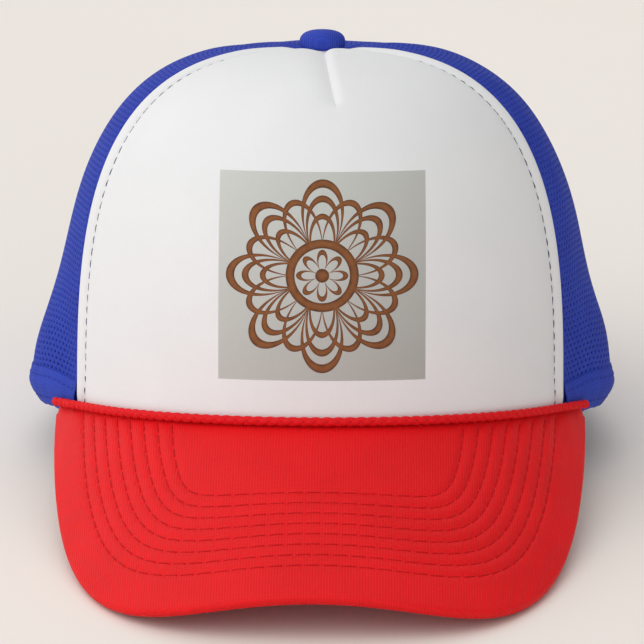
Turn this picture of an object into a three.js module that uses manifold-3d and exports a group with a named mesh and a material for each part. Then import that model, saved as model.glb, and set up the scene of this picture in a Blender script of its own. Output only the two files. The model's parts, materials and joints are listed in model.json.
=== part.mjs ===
// Foam-front mesh cap with a curved visor, a braid along the visor seam and a
// peg-and-hole size closure across the rear opening.
//
// Millimetres, +Z up, front towards -Y, the wearer's left towards +X. The cap stands on a
// table at z = 0, on its two visor tips and the two feet of its rear opening, with the
// origin under the middle of its outline.
//
// The crown is a surface of azimuth (degrees, 0 at the front, positive towards +X) and
// climb (0 at the hem, 1 at the apex). Depth is measured inwards from its outer face.
import * as THREE from 'three';
import Module from 'manifold-3d';
import { mergeVertices } from 'three/addons/utils/BufferGeometryUtils.js';

const wasm = await Module();
wasm.setup();

// Crown
const HALF_WIDTH = 84.9;
const HALF_DEPTH = 98.2;
const CROWN_HEIGHT = 117.3;
const APEX_FORWARD = 6.4;
const ROUNDNESS = 3.165; // superellipse exponent of the vertical sections
const BULGE = 0.118; // the mesh stands out by this share of its radius
const BULGE_RISE = 0.072; // where the bulge is widest, as a share of the height
const BULGE_ABOVE = 0.254; // how far it fades upwards and downwards
const BULGE_BELOW = 0.104;
const BULGE_SPREAD = 20; // degrees behind the front seam to reach the full bulge
const HEM_ARCH = 8.7; // how far the hem rises at the front
const HEM_KINK = 0.1; // softness of the change from level hem to arched hem
const HEM_TUCK = 3.4; // length of front panel tucked behind the visor
const TOP_HOLE = 0.041; // radius of the hole for the button, as a share of the hem radius
const BUTTON_DIP = 1.2; // the crown is drawn in under the button
const BUTTON_DIP_RADII = [0.09, 0.19]; // full dip inside, none outside, as shares of the hem radius

// Seams, degrees from the front
const FRONT_SEAM = 66.3;
const SIDE_SEAM = 120;
const REAR_SEAM = 180;

// Layers, as depths below the outer face
const GAP = 0.3;
const FACE_SKIN = 0.8;
const FOAM_EDGE = 1.6;
const FOAM_FULL = 3.6;
const FOAM_BEVEL = [7, 13]; // distance from the seam where the foam starts and ends thickening
const MESH_SKIN = 1.0;
const TAPE_DEPTH = [2.4, 3.1];
const TAPE_WIDTH = 10;
const TAPE_FOOT = 1.5;
const TAPE_TOP = 0.88;
const SWEATBAND_DEPTH = [4.2, 5.4];
const SWEATBAND_HEIGHT = 31;
const SWEATBAND_END = 143;

// Bindings: a strip folded over the edge of the mesh
const BINDING_OUT = 1.1;
const BINDING_IN = 2.2;
const BINDING_FOLD = 0.9;
const BINDING_CLEAR = 0.7; // between the binding's legs and the mesh
const HEM_BINDING_HEIGHT = 12;
const HEM_BINDING_END = 145.4;
const OPENING_BINDING_WIDTH = 8;

// Rear opening
const OPENING_HALF_WIDTH = 43;
const OPENING_HEIGHT = 53;
const OPENING_ROUNDNESS = 0.8;

// Visor, drawn flat (u across, w forward) and bent round a sloping axis
const VISOR_RADIUS = 115.8;
const VISOR_SLOPE = THREE.MathUtils.degToRad(31.35);
const VISOR_TOP = 9.25; // height of the top face where it meets the crown at the front
const VISOR_LENGTH = 76;
const VISOR_HALF_WIDTH = 97.2;
const VISOR_BACK = 78.85; // how far the outline's centre lies behind the front seam
const VISOR_SIDE_POWER = 4.03;
const VISOR_FRONT_POWER = 2.18;
const VISOR_SAG = 0.0021; // curvature of the part that runs back beside the crown, per mm
const VISOR_CORNER = 72.5; // azimuth where the visor ends
const VISOR_CORNER_WIDTH = 0.5; // from the seam's end to the outline
const VISOR_SEAM_LIFT = 0.3; // top face above the hem line along the seam
const VISOR_SKIN = 0.7;
const VISOR_BOARD = 1.6;
const VISOR_BOARD_RIM = 3.3; // from the outline to the edge of the board
const BRAID_RADIUS = 1.4;
const BRAID_SINK = 0.1; // how far the braid is pressed into the seam
const BRAID_END = 74.6;

// Button
const BUTTON_RADIUS = 7.4;
const BUTTON_HEIGHT = 6.4;
const BUTTON_SKIN = 0.6;
const BUTTON_POWER = 2.5; // superellipse exponent of the dome
const BUTTON_BASE = 0.4;
const SHELL_WALL = 0.5;
const SHANK_FOOT = -4;
const SHANK_RADIUS = 1.6;
const WASHER_RADIUS = 6.5;

// Size closure
const HINGE_X = 39.5;
const HINGE_HEIGHT = 11.5;
const STRAP_HEIGHT = 16;
const STRAP_THICKNESS = 1.2;
const STRAP_RADIUS = 120;
const STRAP_ROOT = 1.6; // distance from the hinge line to the moulded strap
const STRAP_FREE_X = 23; // where a strap ends, past the middle
const TAB_DEPTH = [2.8, 4.0];
const TAB_OUTER_X = 54;
const TAB_CLEARANCE = 0.5;
const PEG_COUNT = 6;
const PEG_PITCH = 8.5;
const PEG_FIRST_X = 17; // five of the six pegs are in holes
const PEG_RADII = [2.1, 1.6];
const PEG_LENGTH = 2.2;
const HOLE_RADIUS = 2.6;
const END_SHARE = 0.93; // share of a quarter turn that the rounded free end covers

// Rest attitude: the front is tipped up until visor tips and rear feet touch the table
const REST_TILT = THREE.MathUtils.degToRad(9.73);
const FOOT_Y = 91;
const FOOT_DROP = 1.2;

const cloth = (color) => new THREE.MeshStandardMaterial({ color, roughness: 0.9, metalness: 0 });
const moulded = (color) => new THREE.MeshStandardMaterial({ color, roughness: 0.45, metalness: 0 });
const steel = (color) => new THREE.MeshStandardMaterial({ color, roughness: 0.35, metalness: 1 });
const WHITE = 0xececec;
const FOAM = 0xf4f2ea;
const BLUE = 0x4655aa;
const RED = 0xe4313a;
const PLASTIC_BLUE = 0x2f3f96;
const BOARD = 0xd8d8d4;
const STEEL = 0xb8bcc0;

const { sin, cos, PI, abs, max, min, hypot } = Math;
const radians = THREE.MathUtils.degToRad;
const degrees = THREE.MathUtils.radToDeg;
const { lerp, smoothstep } = THREE.MathUtils;

/** Evenly spaced numbers from a to b. */
function steps(a, b, count) {
  return Array.from({ length: count + 1 }, (_, i) => lerp(a, b, i / count));
}

// ---- Closed solids -----------------------------------------------------------------

/**
 * Carries a ladder-shaped section (two rails of points) through stations and closes both
 * ends. place(station, a, b) gives the point of the section's (a, b) at that station.
 */
function sweep(stations, left, right, place) {
  const ring = [...left, ...right.toReversed()];
  const count = ring.length;
  const positions = stations.flatMap((s) => ring.flatMap(([a, b]) => place(s, a, b).toArray()));
  const index = [];
  for (let s = 0; s + 1 < stations.length; s += 1) {
    for (let i = 0; i < count; i += 1) {
      const j = (i + 1) % count;
      const [p, q, r, t] = [s * count + i, s * count + j, (s + 1) * count + j, (s + 1) * count + i];
      index.push(p, q, r, p, r, t);
    }
  }
  const last = (stations.length - 1) * count;
  for (let i = 0; i + 1 < left.length; i += 1) {
    const [a, b, c, d] = [i, i + 1, count - 2 - i, count - 1 - i];
    index.push(a, d, c, a, c, b);
    index.push(last + a, last + b, last + c, last + a, last + c, last + d);
  }
  const geometry = new THREE.BufferGeometry();
  geometry.setAttribute('position', new THREE.Float32BufferAttribute(positions, 3));
  geometry.setIndex(index);
  return facingOut(geometry);
}

/** Turns every triangle over if the solid is inside out. */
function facingOut(geometry) {
  const position = geometry.getAttribute('position');
  const index = Array.from(geometry.getIndex().array);
  const corner = (i) => new THREE.Vector3().fromBufferAttribute(position, i);
  let volume = 0;
  for (let i = 0; i < index.length; i += 3) {
    volume += corner(index[i]).dot(corner(index[i + 1]).cross(corner(index[i + 2])));
  }
  if (volume < 0) index.reverse();
  geometry.setIndex(index);
  geometry.computeVertexNormals();
  return geometry;
}

/** A sheet between two depths: columns run along the section, stations across it. */
function sheet(stations, columns, outer, inner, place) {
  const near = columns.map((c) => [c, outer]);
  const far = columns.map((c) => [c, inner]);
  return sweep(stations, near, far, place);
}

/** Rails of a strip folded over an edge: along is the distance from the edge. */
function foldedStrip(width, divisions) {
  const along = steps(0, width, divisions);
  const outside = along.toReversed().map((a) => [a, -BINDING_OUT]);
  const inside = along.map((a) => [a, BINDING_IN]);
  const [near, far] = [-BINDING_CLEAR, MESH_SKIN + BINDING_CLEAR];
  const innerOutside = along.toReversed().map((a) => [a, near]);
  const innerInside = along.map((a) => [a, far]);
  return [
    [...outside, [-BINDING_FOLD, -BINDING_OUT], [-BINDING_FOLD, BINDING_IN], ...inside],
    [...innerOutside, [-GAP, near], [-GAP, far], ...innerInside],
  ];
}

/** Rails of a round section. */
function roundSection(radius, sides) {
  const rail = (side) => steps(0, sides / 2 - 1, sides / 2 - 1).map((i) => {
    const angle = ((i + 0.5) / sides) * 2 * PI;
    return [side * radius * sin(angle), -radius * cos(angle)];
  });
  return [rail(1), rail(-1)];
}

function toManifold(geometry) {
  const bare = geometry.clone();
  bare.deleteAttribute('normal');
  bare.deleteAttribute('uv');
  const merged = mergeVertices(bare, 1e-4);
  return new wasm.Manifold(new wasm.Mesh({
    numProp: 3,
    vertProperties: new Float32Array(merged.getAttribute('position').array),
    triVerts: new Uint32Array(merged.getIndex().array),
  }));
}

function fromManifold(solid) {
  const { vertProperties, triVerts } = solid.getMesh();
  const geometry = new THREE.BufferGeometry();
  geometry.setAttribute('position', new THREE.Float32BufferAttribute(vertProperties, 3));
  geometry.setIndex(Array.from(triVerts));
  geometry.computeVertexNormals();
  return geometry;
}

// ---- Crown surface -----------------------------------------------------------------

/** Share of the height and of the radius at a climb, on a superellipse. */
function profile(climb) {
  const [c, s] = [cos(climb * PI / 2), sin(climb * PI / 2)];
  const size = (abs(c) ** ROUNDNESS + abs(s) ** ROUNDNESS) ** (-1 / ROUNDNESS);
  return { spread: size * c, rise: size * s };
}

function climbAt(rise) {
  const spread = (1 - abs(rise) ** ROUNDNESS) ** (1 / ROUNDNESS);
  return Math.atan2(rise, spread) / (PI / 2);
}

/** Radius factor of the mesh bulge, behind the front seams. */
function bulge(azimuth, rise) {
  const reach = rise > BULGE_RISE ? BULGE_ABOVE : BULGE_BELOW;
  const height = Math.exp(-(((rise - BULGE_RISE) / reach) ** 2));
  return 1 + BULGE * height * smoothstep(abs(azimuth), FRONT_SEAM, FRONT_SEAM + BULGE_SPREAD);
}

/** Height of the hem line: level at the sides and rear, arched at the front. */
function hemLine(azimuth) {
  const forward = cos(radians(azimuth));
  return HEM_ARCH * (forward + hypot(forward, HEM_KINK)) / 2;
}

/** Height of the panels' lower edge, tucked behind the visor at the front. */
function foot(azimuth) {
  return hemLine(azimuth) - HEM_TUCK * (1 - smoothstep(abs(azimuth), FRONT_SEAM, FRONT_SEAM + 12));
}

function crownFace(azimuth, climb) {
  const { spread, rise } = profile(climb);
  const reach = spread * bulge(azimuth, rise);
  const angle = radians(azimuth);
  const dip = BUTTON_DIP * (1 - smoothstep(spread, ...BUTTON_DIP_RADII));
  return new THREE.Vector3(
    HALF_WIDTH * sin(angle) * reach,
    -HALF_DEPTH * cos(angle) * reach - APEX_FORWARD * (1 - spread),
    lerp(foot(azimuth), CROWN_HEIGHT, rise) - dip,
  );
}

function crownNormal(azimuth, climb) {
  const step = 0.002;
  const along = crownFace(azimuth + 1, climb).sub(crownFace(azimuth - 1, climb));
  const up = crownFace(azimuth, climb + step).sub(crownFace(azimuth, climb - step));
  return along.cross(up).normalize();
}

/** Point at a depth below the crown's outer face. */
function crownPoint(azimuth, climb, depth) {
  return crownFace(azimuth, climb).addScaledVector(crownNormal(azimuth, climb), -depth);
}

/** Degrees of azimuth that span a length at a climb. */
function arcDegrees(length, climb) {
  return degrees(length / (profile(climb).spread * (HALF_WIDTH + HALF_DEPTH) / 2));
}

/** Climb at a height above the panels' lower edge. */
function climbAbove(azimuth, height) {
  return climbAt(height / (CROWN_HEIGHT - foot(azimuth)));
}

/** Azimuth of a point of the rear half, from its x and its share of the height. */
function rearAzimuth(x, rise) {
  const { spread } = profile(climbAt(rise));
  return 180 - degrees(Math.asin(x / (HALF_WIDTH * spread * bulge(180, rise))));
}

const climbOfHeight = (height) => climbAt(height / CROWN_HEIGHT);
const climbOfSpread = (spread) => climbAt((1 - spread ** ROUNDNESS) ** (1 / ROUNDNESS));
const [DIP_INSIDE, DIP_OUTSIDE] = BUTTON_DIP_RADII.map(climbOfSpread);
const PANEL_CLIMBS = [
  ...steps(0, HEM_BINDING_HEIGHT, 4).map(climbOfHeight),
  ...steps(climbOfHeight(HEM_BINDING_HEIGHT), DIP_OUTSIDE, 10).slice(1),
  (DIP_INSIDE + DIP_OUTSIDE) / 2, DIP_INSIDE, climbOfSpread(TOP_HOLE),
];

/** Azimuth across a panel, keeping the seam gap at both edges. */
function panelAzimuth(from, to, across, climb) {
  const inset = arcDegrees(GAP / 2, climb);
  return lerp(from + inset, to - inset, across);
}

// ---- Crown pieces ------------------------------------------------------------------

/** Stations packed towards both edges, where the foam thins out. */
const FRONT_STATIONS = steps(-1, 1, 18).map((t) => (1 + sin(t * PI / 2)) / 2);

function frontPoint(across, climb, depth) {
  return crownPoint(panelAzimuth(-FRONT_SEAM, FRONT_SEAM, across, climb), climb, depth);
}

function frontFace() {
  return sheet(FRONT_STATIONS, PANEL_CLIMBS, 0, FACE_SKIN, frontPoint);
}

function frontFoam() {
  const foamPoint = (across, climb, side) => {
    const edge = min(across, 1 - across) * 2 * FRONT_SEAM / arcDegrees(1, climb);
    const inner = lerp(FOAM_EDGE, FOAM_FULL, smoothstep(edge, ...FOAM_BEVEL));
    return frontPoint(across, climb, side === 0 ? FACE_SKIN + GAP : inner);
  };
  return sheet(FRONT_STATIONS, PANEL_CLIMBS, 0, 1, foamPoint);
}

function meshPanel(from, to, divisions) {
  const place = (across, climb, depth) =>
    crownPoint(panelAzimuth(from, to, across, climb), climb, depth);
  return sheet(steps(0, 1, divisions), PANEL_CLIMBS, 0, MESH_SKIN, place);
}

/** The rear opening's edge, pushed out by a distance: x and height, for t from -1 to 1. */
function openingEdge(t, out) {
  const at = (s) => {
    const angle = s * PI / 2;
    return new THREE.Vector2(
      OPENING_HALF_WIDTH * sin(angle),
      (OPENING_HEIGHT + FOOT_DROP) * cos(angle) ** OPENING_ROUNDNESS - FOOT_DROP,
    );
  };
  const side = min(abs(t), 0.998) * Math.sign(t);
  const tangent = at(side + 0.002).sub(at(side - 0.002)).normalize();
  return at(t).add(new THREE.Vector2(-tangent.y, tangent.x).multiplyScalar(out));
}

/** Everything inside the rear opening, as a prism through the rear of the crown. */
function openingCutter() {
  const outline = new THREE.Shape(steps(-1, 1, 32).map((t) => openingEdge(t, 0)));
  const below = -HINGE_X / 2;
  outline.lineTo(OPENING_HALF_WIDTH, below);
  outline.lineTo(-OPENING_HALF_WIDTH, below);
  const prism = new THREE.ExtrudeGeometry(outline, { depth: HALF_DEPTH, bevelEnabled: false });
  prism.rotateX(PI / 2);
  prism.translate(0, HALF_DEPTH + OPENING_HALF_WIDTH, 0);
  return toManifold(prism);
}

function rearMesh(from, to) {
  return fromManifold(toManifold(meshPanel(from, to, 10)).subtract(openingCutter()));
}

/** A tape over the inside of a seam. */
function seamTape(azimuth, fromHeight) {
  const start = climbAbove(azimuth, fromHeight);
  const place = (climb, across, depth) =>
    crownPoint(azimuth + arcDegrees(across, climb), climb, depth);
  const across = steps(-TAPE_WIDTH / 2, TAPE_WIDTH / 2, 2);
  const climbs = steps(0, 1, 16).map((t) => lerp(start, TAPE_TOP, t ** 1.4)); // packed low down
  return sheet(climbs, across, ...TAPE_DEPTH, place);
}

function sweatband() {
  const place = (azimuth, height, depth) =>
    crownPoint(azimuth, climbAbove(azimuth, height), depth);
  const stations = steps(-SWEATBAND_END, SWEATBAND_END, 40);
  return sheet(stations, steps(1, SWEATBAND_HEIGHT, 6), ...SWEATBAND_DEPTH, place);
}

function hemBinding(from, to) {
  const place = (azimuth, height, depth) => crownPoint(azimuth, climbOfHeight(height), depth);
  return sweep(steps(from, to, 18), ...foldedStrip(HEM_BINDING_HEIGHT, 4), place);
}

/** Everything under the table, seen from the tilted crown. */
function tableCutter() {
  const size = 4 * HALF_DEPTH;
  const slab = new THREE.BoxGeometry(size, size, size).translate(0, 0, -size / 2);
  slab.rotateX(REST_TILT);
  slab.translate(0, FOOT_Y, -FOOT_DROP);
  return toManifold(slab);
}

/** Stations of the opening, packed towards its feet. */
const OPENING_STATIONS = steps(-1, 1, 32).map((t) => Math.sign(t) * (1 - (1 - abs(t)) ** 1.5));

function rearOpeningBinding() {
  const place = (t, out, depth) => {
    const edge = openingEdge(t, out);
    const rise = edge.y / CROWN_HEIGHT;
    return crownPoint(rearAzimuth(edge.x, rise), climbAt(rise), depth);
  };
  const rails = foldedStrip(OPENING_BINDING_WIDTH, 2);
  const arch = sweep(OPENING_STATIONS, ...rails, place);
  return fromManifold(toManifold(arch).subtract(tableCutter()));
}

// ---- Button ------------------------------------------------------------------------

/** Profile points of a dome from its rim to its top. */
function dome(radius, base, top, count) {
  return steps(0, 1, count).map((t) => {
    const power = 2 / BUTTON_POWER;
    const [c, s] = [cos(t * PI / 2), sin(t * PI / 2)];
    return new THREE.Vector2(t === 1 ? 0 : radius * c ** power, base + (top - base) * s ** power);
  });
}

function lathe(points) {
  const turned = new THREE.LatheGeometry([...points, points[0]], 24);
  turned.rotateX(PI / 2);
  turned.deleteAttribute('normal');
  turned.deleteAttribute('uv');
  return facingOut(mergeVertices(turned, 1e-4));
}

function buttonCover() {
  const inner = dome(BUTTON_RADIUS - BUTTON_SKIN, BUTTON_BASE, BUTTON_HEIGHT - BUTTON_SKIN, 6);
  const outer = dome(BUTTON_RADIUS, BUTTON_BASE, BUTTON_HEIGHT, 6);
  return lathe([...inner.toReversed(), ...outer]);
}

function buttonShell() {
  const clear = BUTTON_SKIN + GAP;
  const hollow = clear + SHELL_WALL;
  const outer = dome(BUTTON_RADIUS - clear, BUTTON_BASE, BUTTON_HEIGHT - clear, 6);
  const inner = dome(BUTTON_RADIUS - hollow, BUTTON_BASE, BUTTON_HEIGHT - hollow, 6);
  const shank = [
    new THREE.Vector2(SHANK_RADIUS, BUTTON_HEIGHT - clear - 2 * SHELL_WALL),
    new THREE.Vector2(SHANK_RADIUS, SHANK_FOOT),
    new THREE.Vector2(0, SHANK_FOOT),
  ];
  return lathe([...outer.toReversed(), ...inner.slice(0, -2), ...shank]);
}

function buttonBack() {
  const [bore, top, thickness] = [SHANK_RADIUS + GAP, -FOAM_EDGE - 3 * GAP, 0.8];
  const point = (x, y) => new THREE.Vector2(x, y);
  return lathe([
    point(bore, top), point(WASHER_RADIUS, top), point(WASHER_RADIUS, top - thickness),
    point(bore + 1, top - 1.8 * thickness), point(bore, top - 1.8 * thickness),
  ]);
}

// ---- Visor -------------------------------------------------------------------------

/** Top face of the bent visor at a place in its flat drawing. */
function visorFace(u, w) {
  const turn = u / VISOR_RADIUS;
  const drop = VISOR_RADIUS * (1 - cos(turn));
  const behind = max(-w, 0);
  return new THREE.Vector3(
    VISOR_RADIUS * sin(turn),
    -HALF_DEPTH - w * cos(VISOR_SLOPE) + drop * sin(VISOR_SLOPE),
    VISOR_TOP - w * sin(VISOR_SLOPE) - drop * cos(VISOR_SLOPE) - VISOR_SAG * behind ** 2,
  );
}

function visorNormal(u, w) {
  const across = visorFace(u + 0.5, w).sub(visorFace(u - 0.5, w));
  const forward = visorFace(u, w + 0.5).sub(visorFace(u, w - 0.5));
  return forward.cross(across).normalize();
}

/** Flat place of the seam at an azimuth, a little outside the crown. */
function visorSeam(azimuth, out) {
  const climb = climbAbove(azimuth, HEM_TUCK);
  const clear = out + (BINDING_OUT + 0.1) * smoothstep(abs(azimuth), FRONT_SEAM - 6, FRONT_SEAM);
  const normal = crownNormal(azimuth, climb).setZ(0).normalize();
  const point = crownFace(azimuth, climb).addScaledVector(normal, clear);
  const turn = Math.asin(point.x / VISOR_RADIUS);
  const drop = VISOR_RADIUS * (1 - cos(turn));
  const w = (drop * sin(VISOR_SLOPE) - HALF_DEPTH - point.y) / cos(VISOR_SLOPE);
  return new THREE.Vector2(VISOR_RADIUS * turn, w);
}

/** How far the seam's height on the bent sheet is from the hem line. */
function seamCorrection(azimuth, flat) {
  return hemLine(azimuth) + VISOR_SEAM_LIFT - visorFace(flat.x, flat.y).z;
}

const OUTLINE_LENGTH = VISOR_LENGTH + VISOR_BACK;
const CORNER_W = visorSeam(VISOR_CORNER, GAP).y + VISOR_CORNER_WIDTH;
const OUTLINE_END = Math.acos(((VISOR_BACK + CORNER_W) / OUTLINE_LENGTH) ** (VISOR_FRONT_POWER / 2));

/** The visor's outline in the flat, for t from -1 to 1, moved in by a distance. */
function visorOutline(t, inset) {
  const at = (s) => {
    const angle = OUTLINE_END * abs(s) ** 1.8;
    const u = VISOR_HALF_WIDTH * sin(angle) ** (2 / VISOR_SIDE_POWER);
    const w = OUTLINE_LENGTH * cos(angle) ** (2 / VISOR_FRONT_POWER) - VISOR_BACK;
    return new THREE.Vector2(Math.sign(s) * u, w);
  };
  const tangent = at(t + 0.01).sub(at(t - 0.01)).normalize();
  return at(t).add(new THREE.Vector2(tangent.y, -tangent.x).multiplyScalar(inset));
}

/** A layer of the visor: gap and rim keep its edges clear of the crown and the outline. */
function visorLayer(stations, columns, gap, rim, depthAt) {
  const place = (t, along, side) => {
    const azimuth = VISOR_CORNER * t;
    const seam = visorSeam(azimuth, gap);
    const flat = seam.clone().lerp(visorOutline(t, rim), along);
    const lift = seamCorrection(azimuth, seam) * (1 - along) ** 2;
    const face = visorFace(flat.x, flat.y).add(new THREE.Vector3(0, 0, lift));
    const normal = visorNormal(flat.x, flat.y);
    const upright = new THREE.Vector3(0, 0, 1 / normal.z);
    return face.addScaledVector(normal.lerp(upright, (1 - along) ** 3), -depthAt(along, side));
  };
  return sheet(stations, columns, 0, 1, place);
}

const VISOR_THICKNESS = 2 * VISOR_SKIN + 2 * GAP + VISOR_BOARD;
const LIP_START = 0.985; // the covers meet round the board's edge from here outwards
const COVER_COLUMNS = [...steps(0, 0.97, 7), LIP_START, 1];
const VISOR_STATIONS = steps(-1, 1, 24);

/** Thickness of a visor cover: thin over the board, half the visor at the rim. */
function coverSkin(along) {
  return along < LIP_START ? VISOR_SKIN : (VISOR_THICKNESS - GAP) / 2;
}

function visorTopCover() {
  const depth = (along, side) => side * coverSkin(along);
  return visorLayer(VISOR_STATIONS, COVER_COLUMNS, GAP, 0, depth);
}

function visorUnderCover() {
  const depth = (along, side) => VISOR_THICKNESS - side * coverSkin(along);
  return visorLayer(VISOR_STATIONS, COVER_COLUMNS, GAP, 0, depth);
}

function visorBoard() {
  const depth = (along, side) => VISOR_SKIN + GAP + side * VISOR_BOARD;
  const stations = VISOR_STATIONS.slice(1, -1);
  return visorLayer(stations, steps(0, 1, 7), 2 * GAP, VISOR_BOARD_RIM, depth);
}

/** The braid lies in the crease between crown and visor. */
function visorBraid() {
  const centre = (azimuth) => {
    const flat = visorSeam(azimuth, GAP);
    const lift = seamCorrection(azimuth, flat);
    const outward = crownNormal(azimuth, climbAbove(azimuth, HEM_TUCK)).setZ(0).normalize();
    const height = lift + BRAID_RADIUS - BRAID_SINK;
    const face = visorFace(flat.x, flat.y).add(new THREE.Vector3(0, 0, height));
    return face.addScaledVector(outward, BRAID_RADIUS);
  };
  const place = (azimuth, a, b) => {
    const tangent = centre(azimuth + 0.5).sub(centre(azimuth - 0.5)).normalize();
    const side = new THREE.Vector3().crossVectors(tangent, THREE.Object3D.DEFAULT_UP).normalize();
    const up = new THREE.Vector3().crossVectors(side, tangent);
    return centre(azimuth).addScaledVector(side, a).addScaledVector(up, b);
  };
  return sweep(steps(-BRAID_END, BRAID_END, 52), ...roundSection(BRAID_RADIUS, 8), place);
}

// ---- Size closure ------------------------------------------------------------------

const toTable = (point) => point.clone().applyAxisAngle(new THREE.Vector3(1, 0, 0), -REST_TILT);
const HINGE_RISE = HINGE_HEIGHT / CROWN_HEIGHT;
const TAB_MIDDLE = (TAB_DEPTH[0] + TAB_DEPTH[1]) / 2;
const HINGE = toTable(
  crownPoint(rearAzimuth(HINGE_X, HINGE_RISE), climbAt(HINGE_RISE), TAB_MIDDLE),
);
const ARC_CENTRE_Y = HINGE.y - Math.sqrt(STRAP_RADIUS ** 2 - HINGE.x ** 2);

/** Place on the closure's arc at an x, at a distance outwards and a height. */
function arcPoint(x, out, height) {
  const angle = Math.asin(x / STRAP_RADIUS);
  const reach = STRAP_RADIUS + out;
  return new THREE.Vector3(reach * sin(angle), ARC_CENTRE_Y + reach * cos(angle), HINGE.z + height);
}

/** The sewn-in end of a strap, between the binding and the sweatband. */
function strapTab(side) {
  const place = (x, height, depth) => {
    const rise = height / CROWN_HEIGHT;
    return crownPoint(side * rearAzimuth(x, rise), climbAt(rise), depth);
  };
  const heights = steps(HINGE_HEIGHT - STRAP_HEIGHT / 2, HINGE_HEIGHT + STRAP_HEIGHT / 2, 4);
  return sheet(steps(HINGE_X + TAB_CLEARANCE, TAB_OUTER_X, 3), heights, ...TAB_DEPTH, place);
}

/** A plain strap from its hinge past the middle, with a rounded free end. */
function strapBlank(side, inner, outer) {
  const half = STRAP_HEIGHT / 2;
  const turns = steps(0, END_SHARE * PI / 2, 6);
  const round = turns.map((turn) => STRAP_FREE_X - half * (1 - sin(turn)));
  const straight = steps(STRAP_ROOT - HINGE.x, STRAP_FREE_X - half, 10).slice(0, -1);
  const place = (along, height, out) => {
    const past = max(along - (STRAP_FREE_X - half), 0) / half;
    return arcPoint(-side * along, out, height * half * Math.sqrt(1 - past ** 2));
  };
  return toManifold(sheet([...straight, ...round], steps(-1, 1, 2), outer, inner, place));
}

/** A tapered round stud or cutter standing outwards on the arc at an x. */
function stud(x, from, to, [base, tip]) {
  const cylinder = new THREE.CylinderGeometry(tip, base, to - from, 14);
  cylinder.rotateZ(-Math.asin(x / STRAP_RADIUS));
  const middle = arcPoint(x, (from + to) / 2, 0);
  return toManifold(cylinder.translate(middle.x, middle.y, middle.z));
}

const PEG_XS = steps(PEG_FIRST_X, PEG_FIRST_X - (PEG_COUNT - 1) * PEG_PITCH, PEG_COUNT - 1);
const HOLE_XS = PEG_XS.map((x) => -x);

function pegStrap() {
  const [inner, outer] = [-GAP / 2 - STRAP_THICKNESS, -GAP / 2];
  const blank = strapBlank(-1, inner, outer);
  const studs = PEG_XS.map((x) => stud(x, -GAP, PEG_LENGTH, PEG_RADII));
  return fromManifold(studs.reduce((strap, peg) => strap.add(peg), blank));
}

function holeStrap() {
  const [inner, outer] = [GAP / 2, GAP / 2 + STRAP_THICKNESS];
  const blank = strapBlank(1, inner, outer);
  const [from, to] = [inner - STRAP_THICKNESS, outer + STRAP_THICKNESS];
  const cutters = HOLE_XS.map((x) => stud(x, from, to, [HOLE_RADIUS, HOLE_RADIUS]));
  return fromManifold(cutters.reduce((strap, hole) => strap.subtract(hole), blank));
}

// ---- Assembly ----------------------------------------------------------------------

function named(name, geometry, material) {
  const mesh = new THREE.Mesh(geometry, material);
  mesh.name = name;
  return mesh;
}

const button = new THREE.Group();
button.position.set(0, -APEX_FORWARD, CROWN_HEIGHT - BUTTON_DIP);
button.add(
  named('button_cover', buttonCover(), cloth(BLUE)),
  named('button_shell', buttonShell(), steel(STEEL)),
  named('button_back', buttonBack(), steel(STEEL)),
);

const crown = new THREE.Group();
crown.rotation.x = -REST_TILT;
crown.add(
  button,
  named('front_face', frontFace(), cloth(WHITE)),
  named('front_foam', frontFoam(), cloth(FOAM)),
  named('side_mesh_left', meshPanel(FRONT_SEAM, SIDE_SEAM, 10), cloth(BLUE)),
  named('side_mesh_right', meshPanel(-SIDE_SEAM, -FRONT_SEAM, 10), cloth(BLUE)),
  named('rear_mesh_left', rearMesh(SIDE_SEAM, REAR_SEAM), cloth(BLUE)),
  named('rear_mesh_right', rearMesh(-REAR_SEAM, -SIDE_SEAM), cloth(BLUE)),
  named('front_tape_left', seamTape(FRONT_SEAM, TAPE_FOOT), cloth(BLUE)),
  named('front_tape_right', seamTape(-FRONT_SEAM, TAPE_FOOT), cloth(BLUE)),
  named('side_tape_left', seamTape(SIDE_SEAM, TAPE_FOOT), cloth(BLUE)),
  named('side_tape_right', seamTape(-SIDE_SEAM, TAPE_FOOT), cloth(BLUE)),
  named('rear_tape', seamTape(REAR_SEAM, OPENING_HEIGHT + OPENING_BINDING_WIDTH + 2), cloth(BLUE)),
  named('hem_binding_left', hemBinding(FRONT_SEAM + 0.2, HEM_BINDING_END), cloth(BLUE)),
  named('hem_binding_right', hemBinding(-HEM_BINDING_END, -FRONT_SEAM - 0.2), cloth(BLUE)),
  named('rear_opening_binding', rearOpeningBinding(), cloth(BLUE)),
  named('sweatband', sweatband(), cloth(BLUE)),
  named('visor_board', visorBoard(), moulded(BOARD)),
  named('visor_top_cover', visorTopCover(), cloth(RED)),
  named('visor_under_cover', visorUnderCover(), cloth(RED)),
  named('visor_braid', visorBraid(), cloth(RED)),
  named('hole_strap_tab', strapTab(1), moulded(PLASTIC_BLUE)),
  named('peg_strap_tab', strapTab(-1), moulded(PLASTIC_BLUE)),
);

const cap = new THREE.Group();
cap.add(
  crown,
  named('hole_strap', holeStrap(), moulded(PLASTIC_BLUE)),
  named('peg_strap', pegStrap(), moulded(PLASTIC_BLUE)),
);
cap.updateMatrixWorld(true);
const middle = new THREE.Box3().setFromObject(cap, true).getCenter(new THREE.Vector3());
const table = toTable(new THREE.Vector3(0, FOOT_Y, -FOOT_DROP)).z;
cap.position.set(-middle.x, -middle.y, -table);

export default cap;
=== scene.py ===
"""Looks of a foam-front mesh cap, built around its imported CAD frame.

Shapes are worked out in millimetres in the cap's own upright frame, as in the CAD source:
azimuth in degrees from the front, climb from hem (0) to apex (1), depth inwards from the
outer face. to_world() tips them into the rest attitude, in metres.
"""
import json
import math

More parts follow.
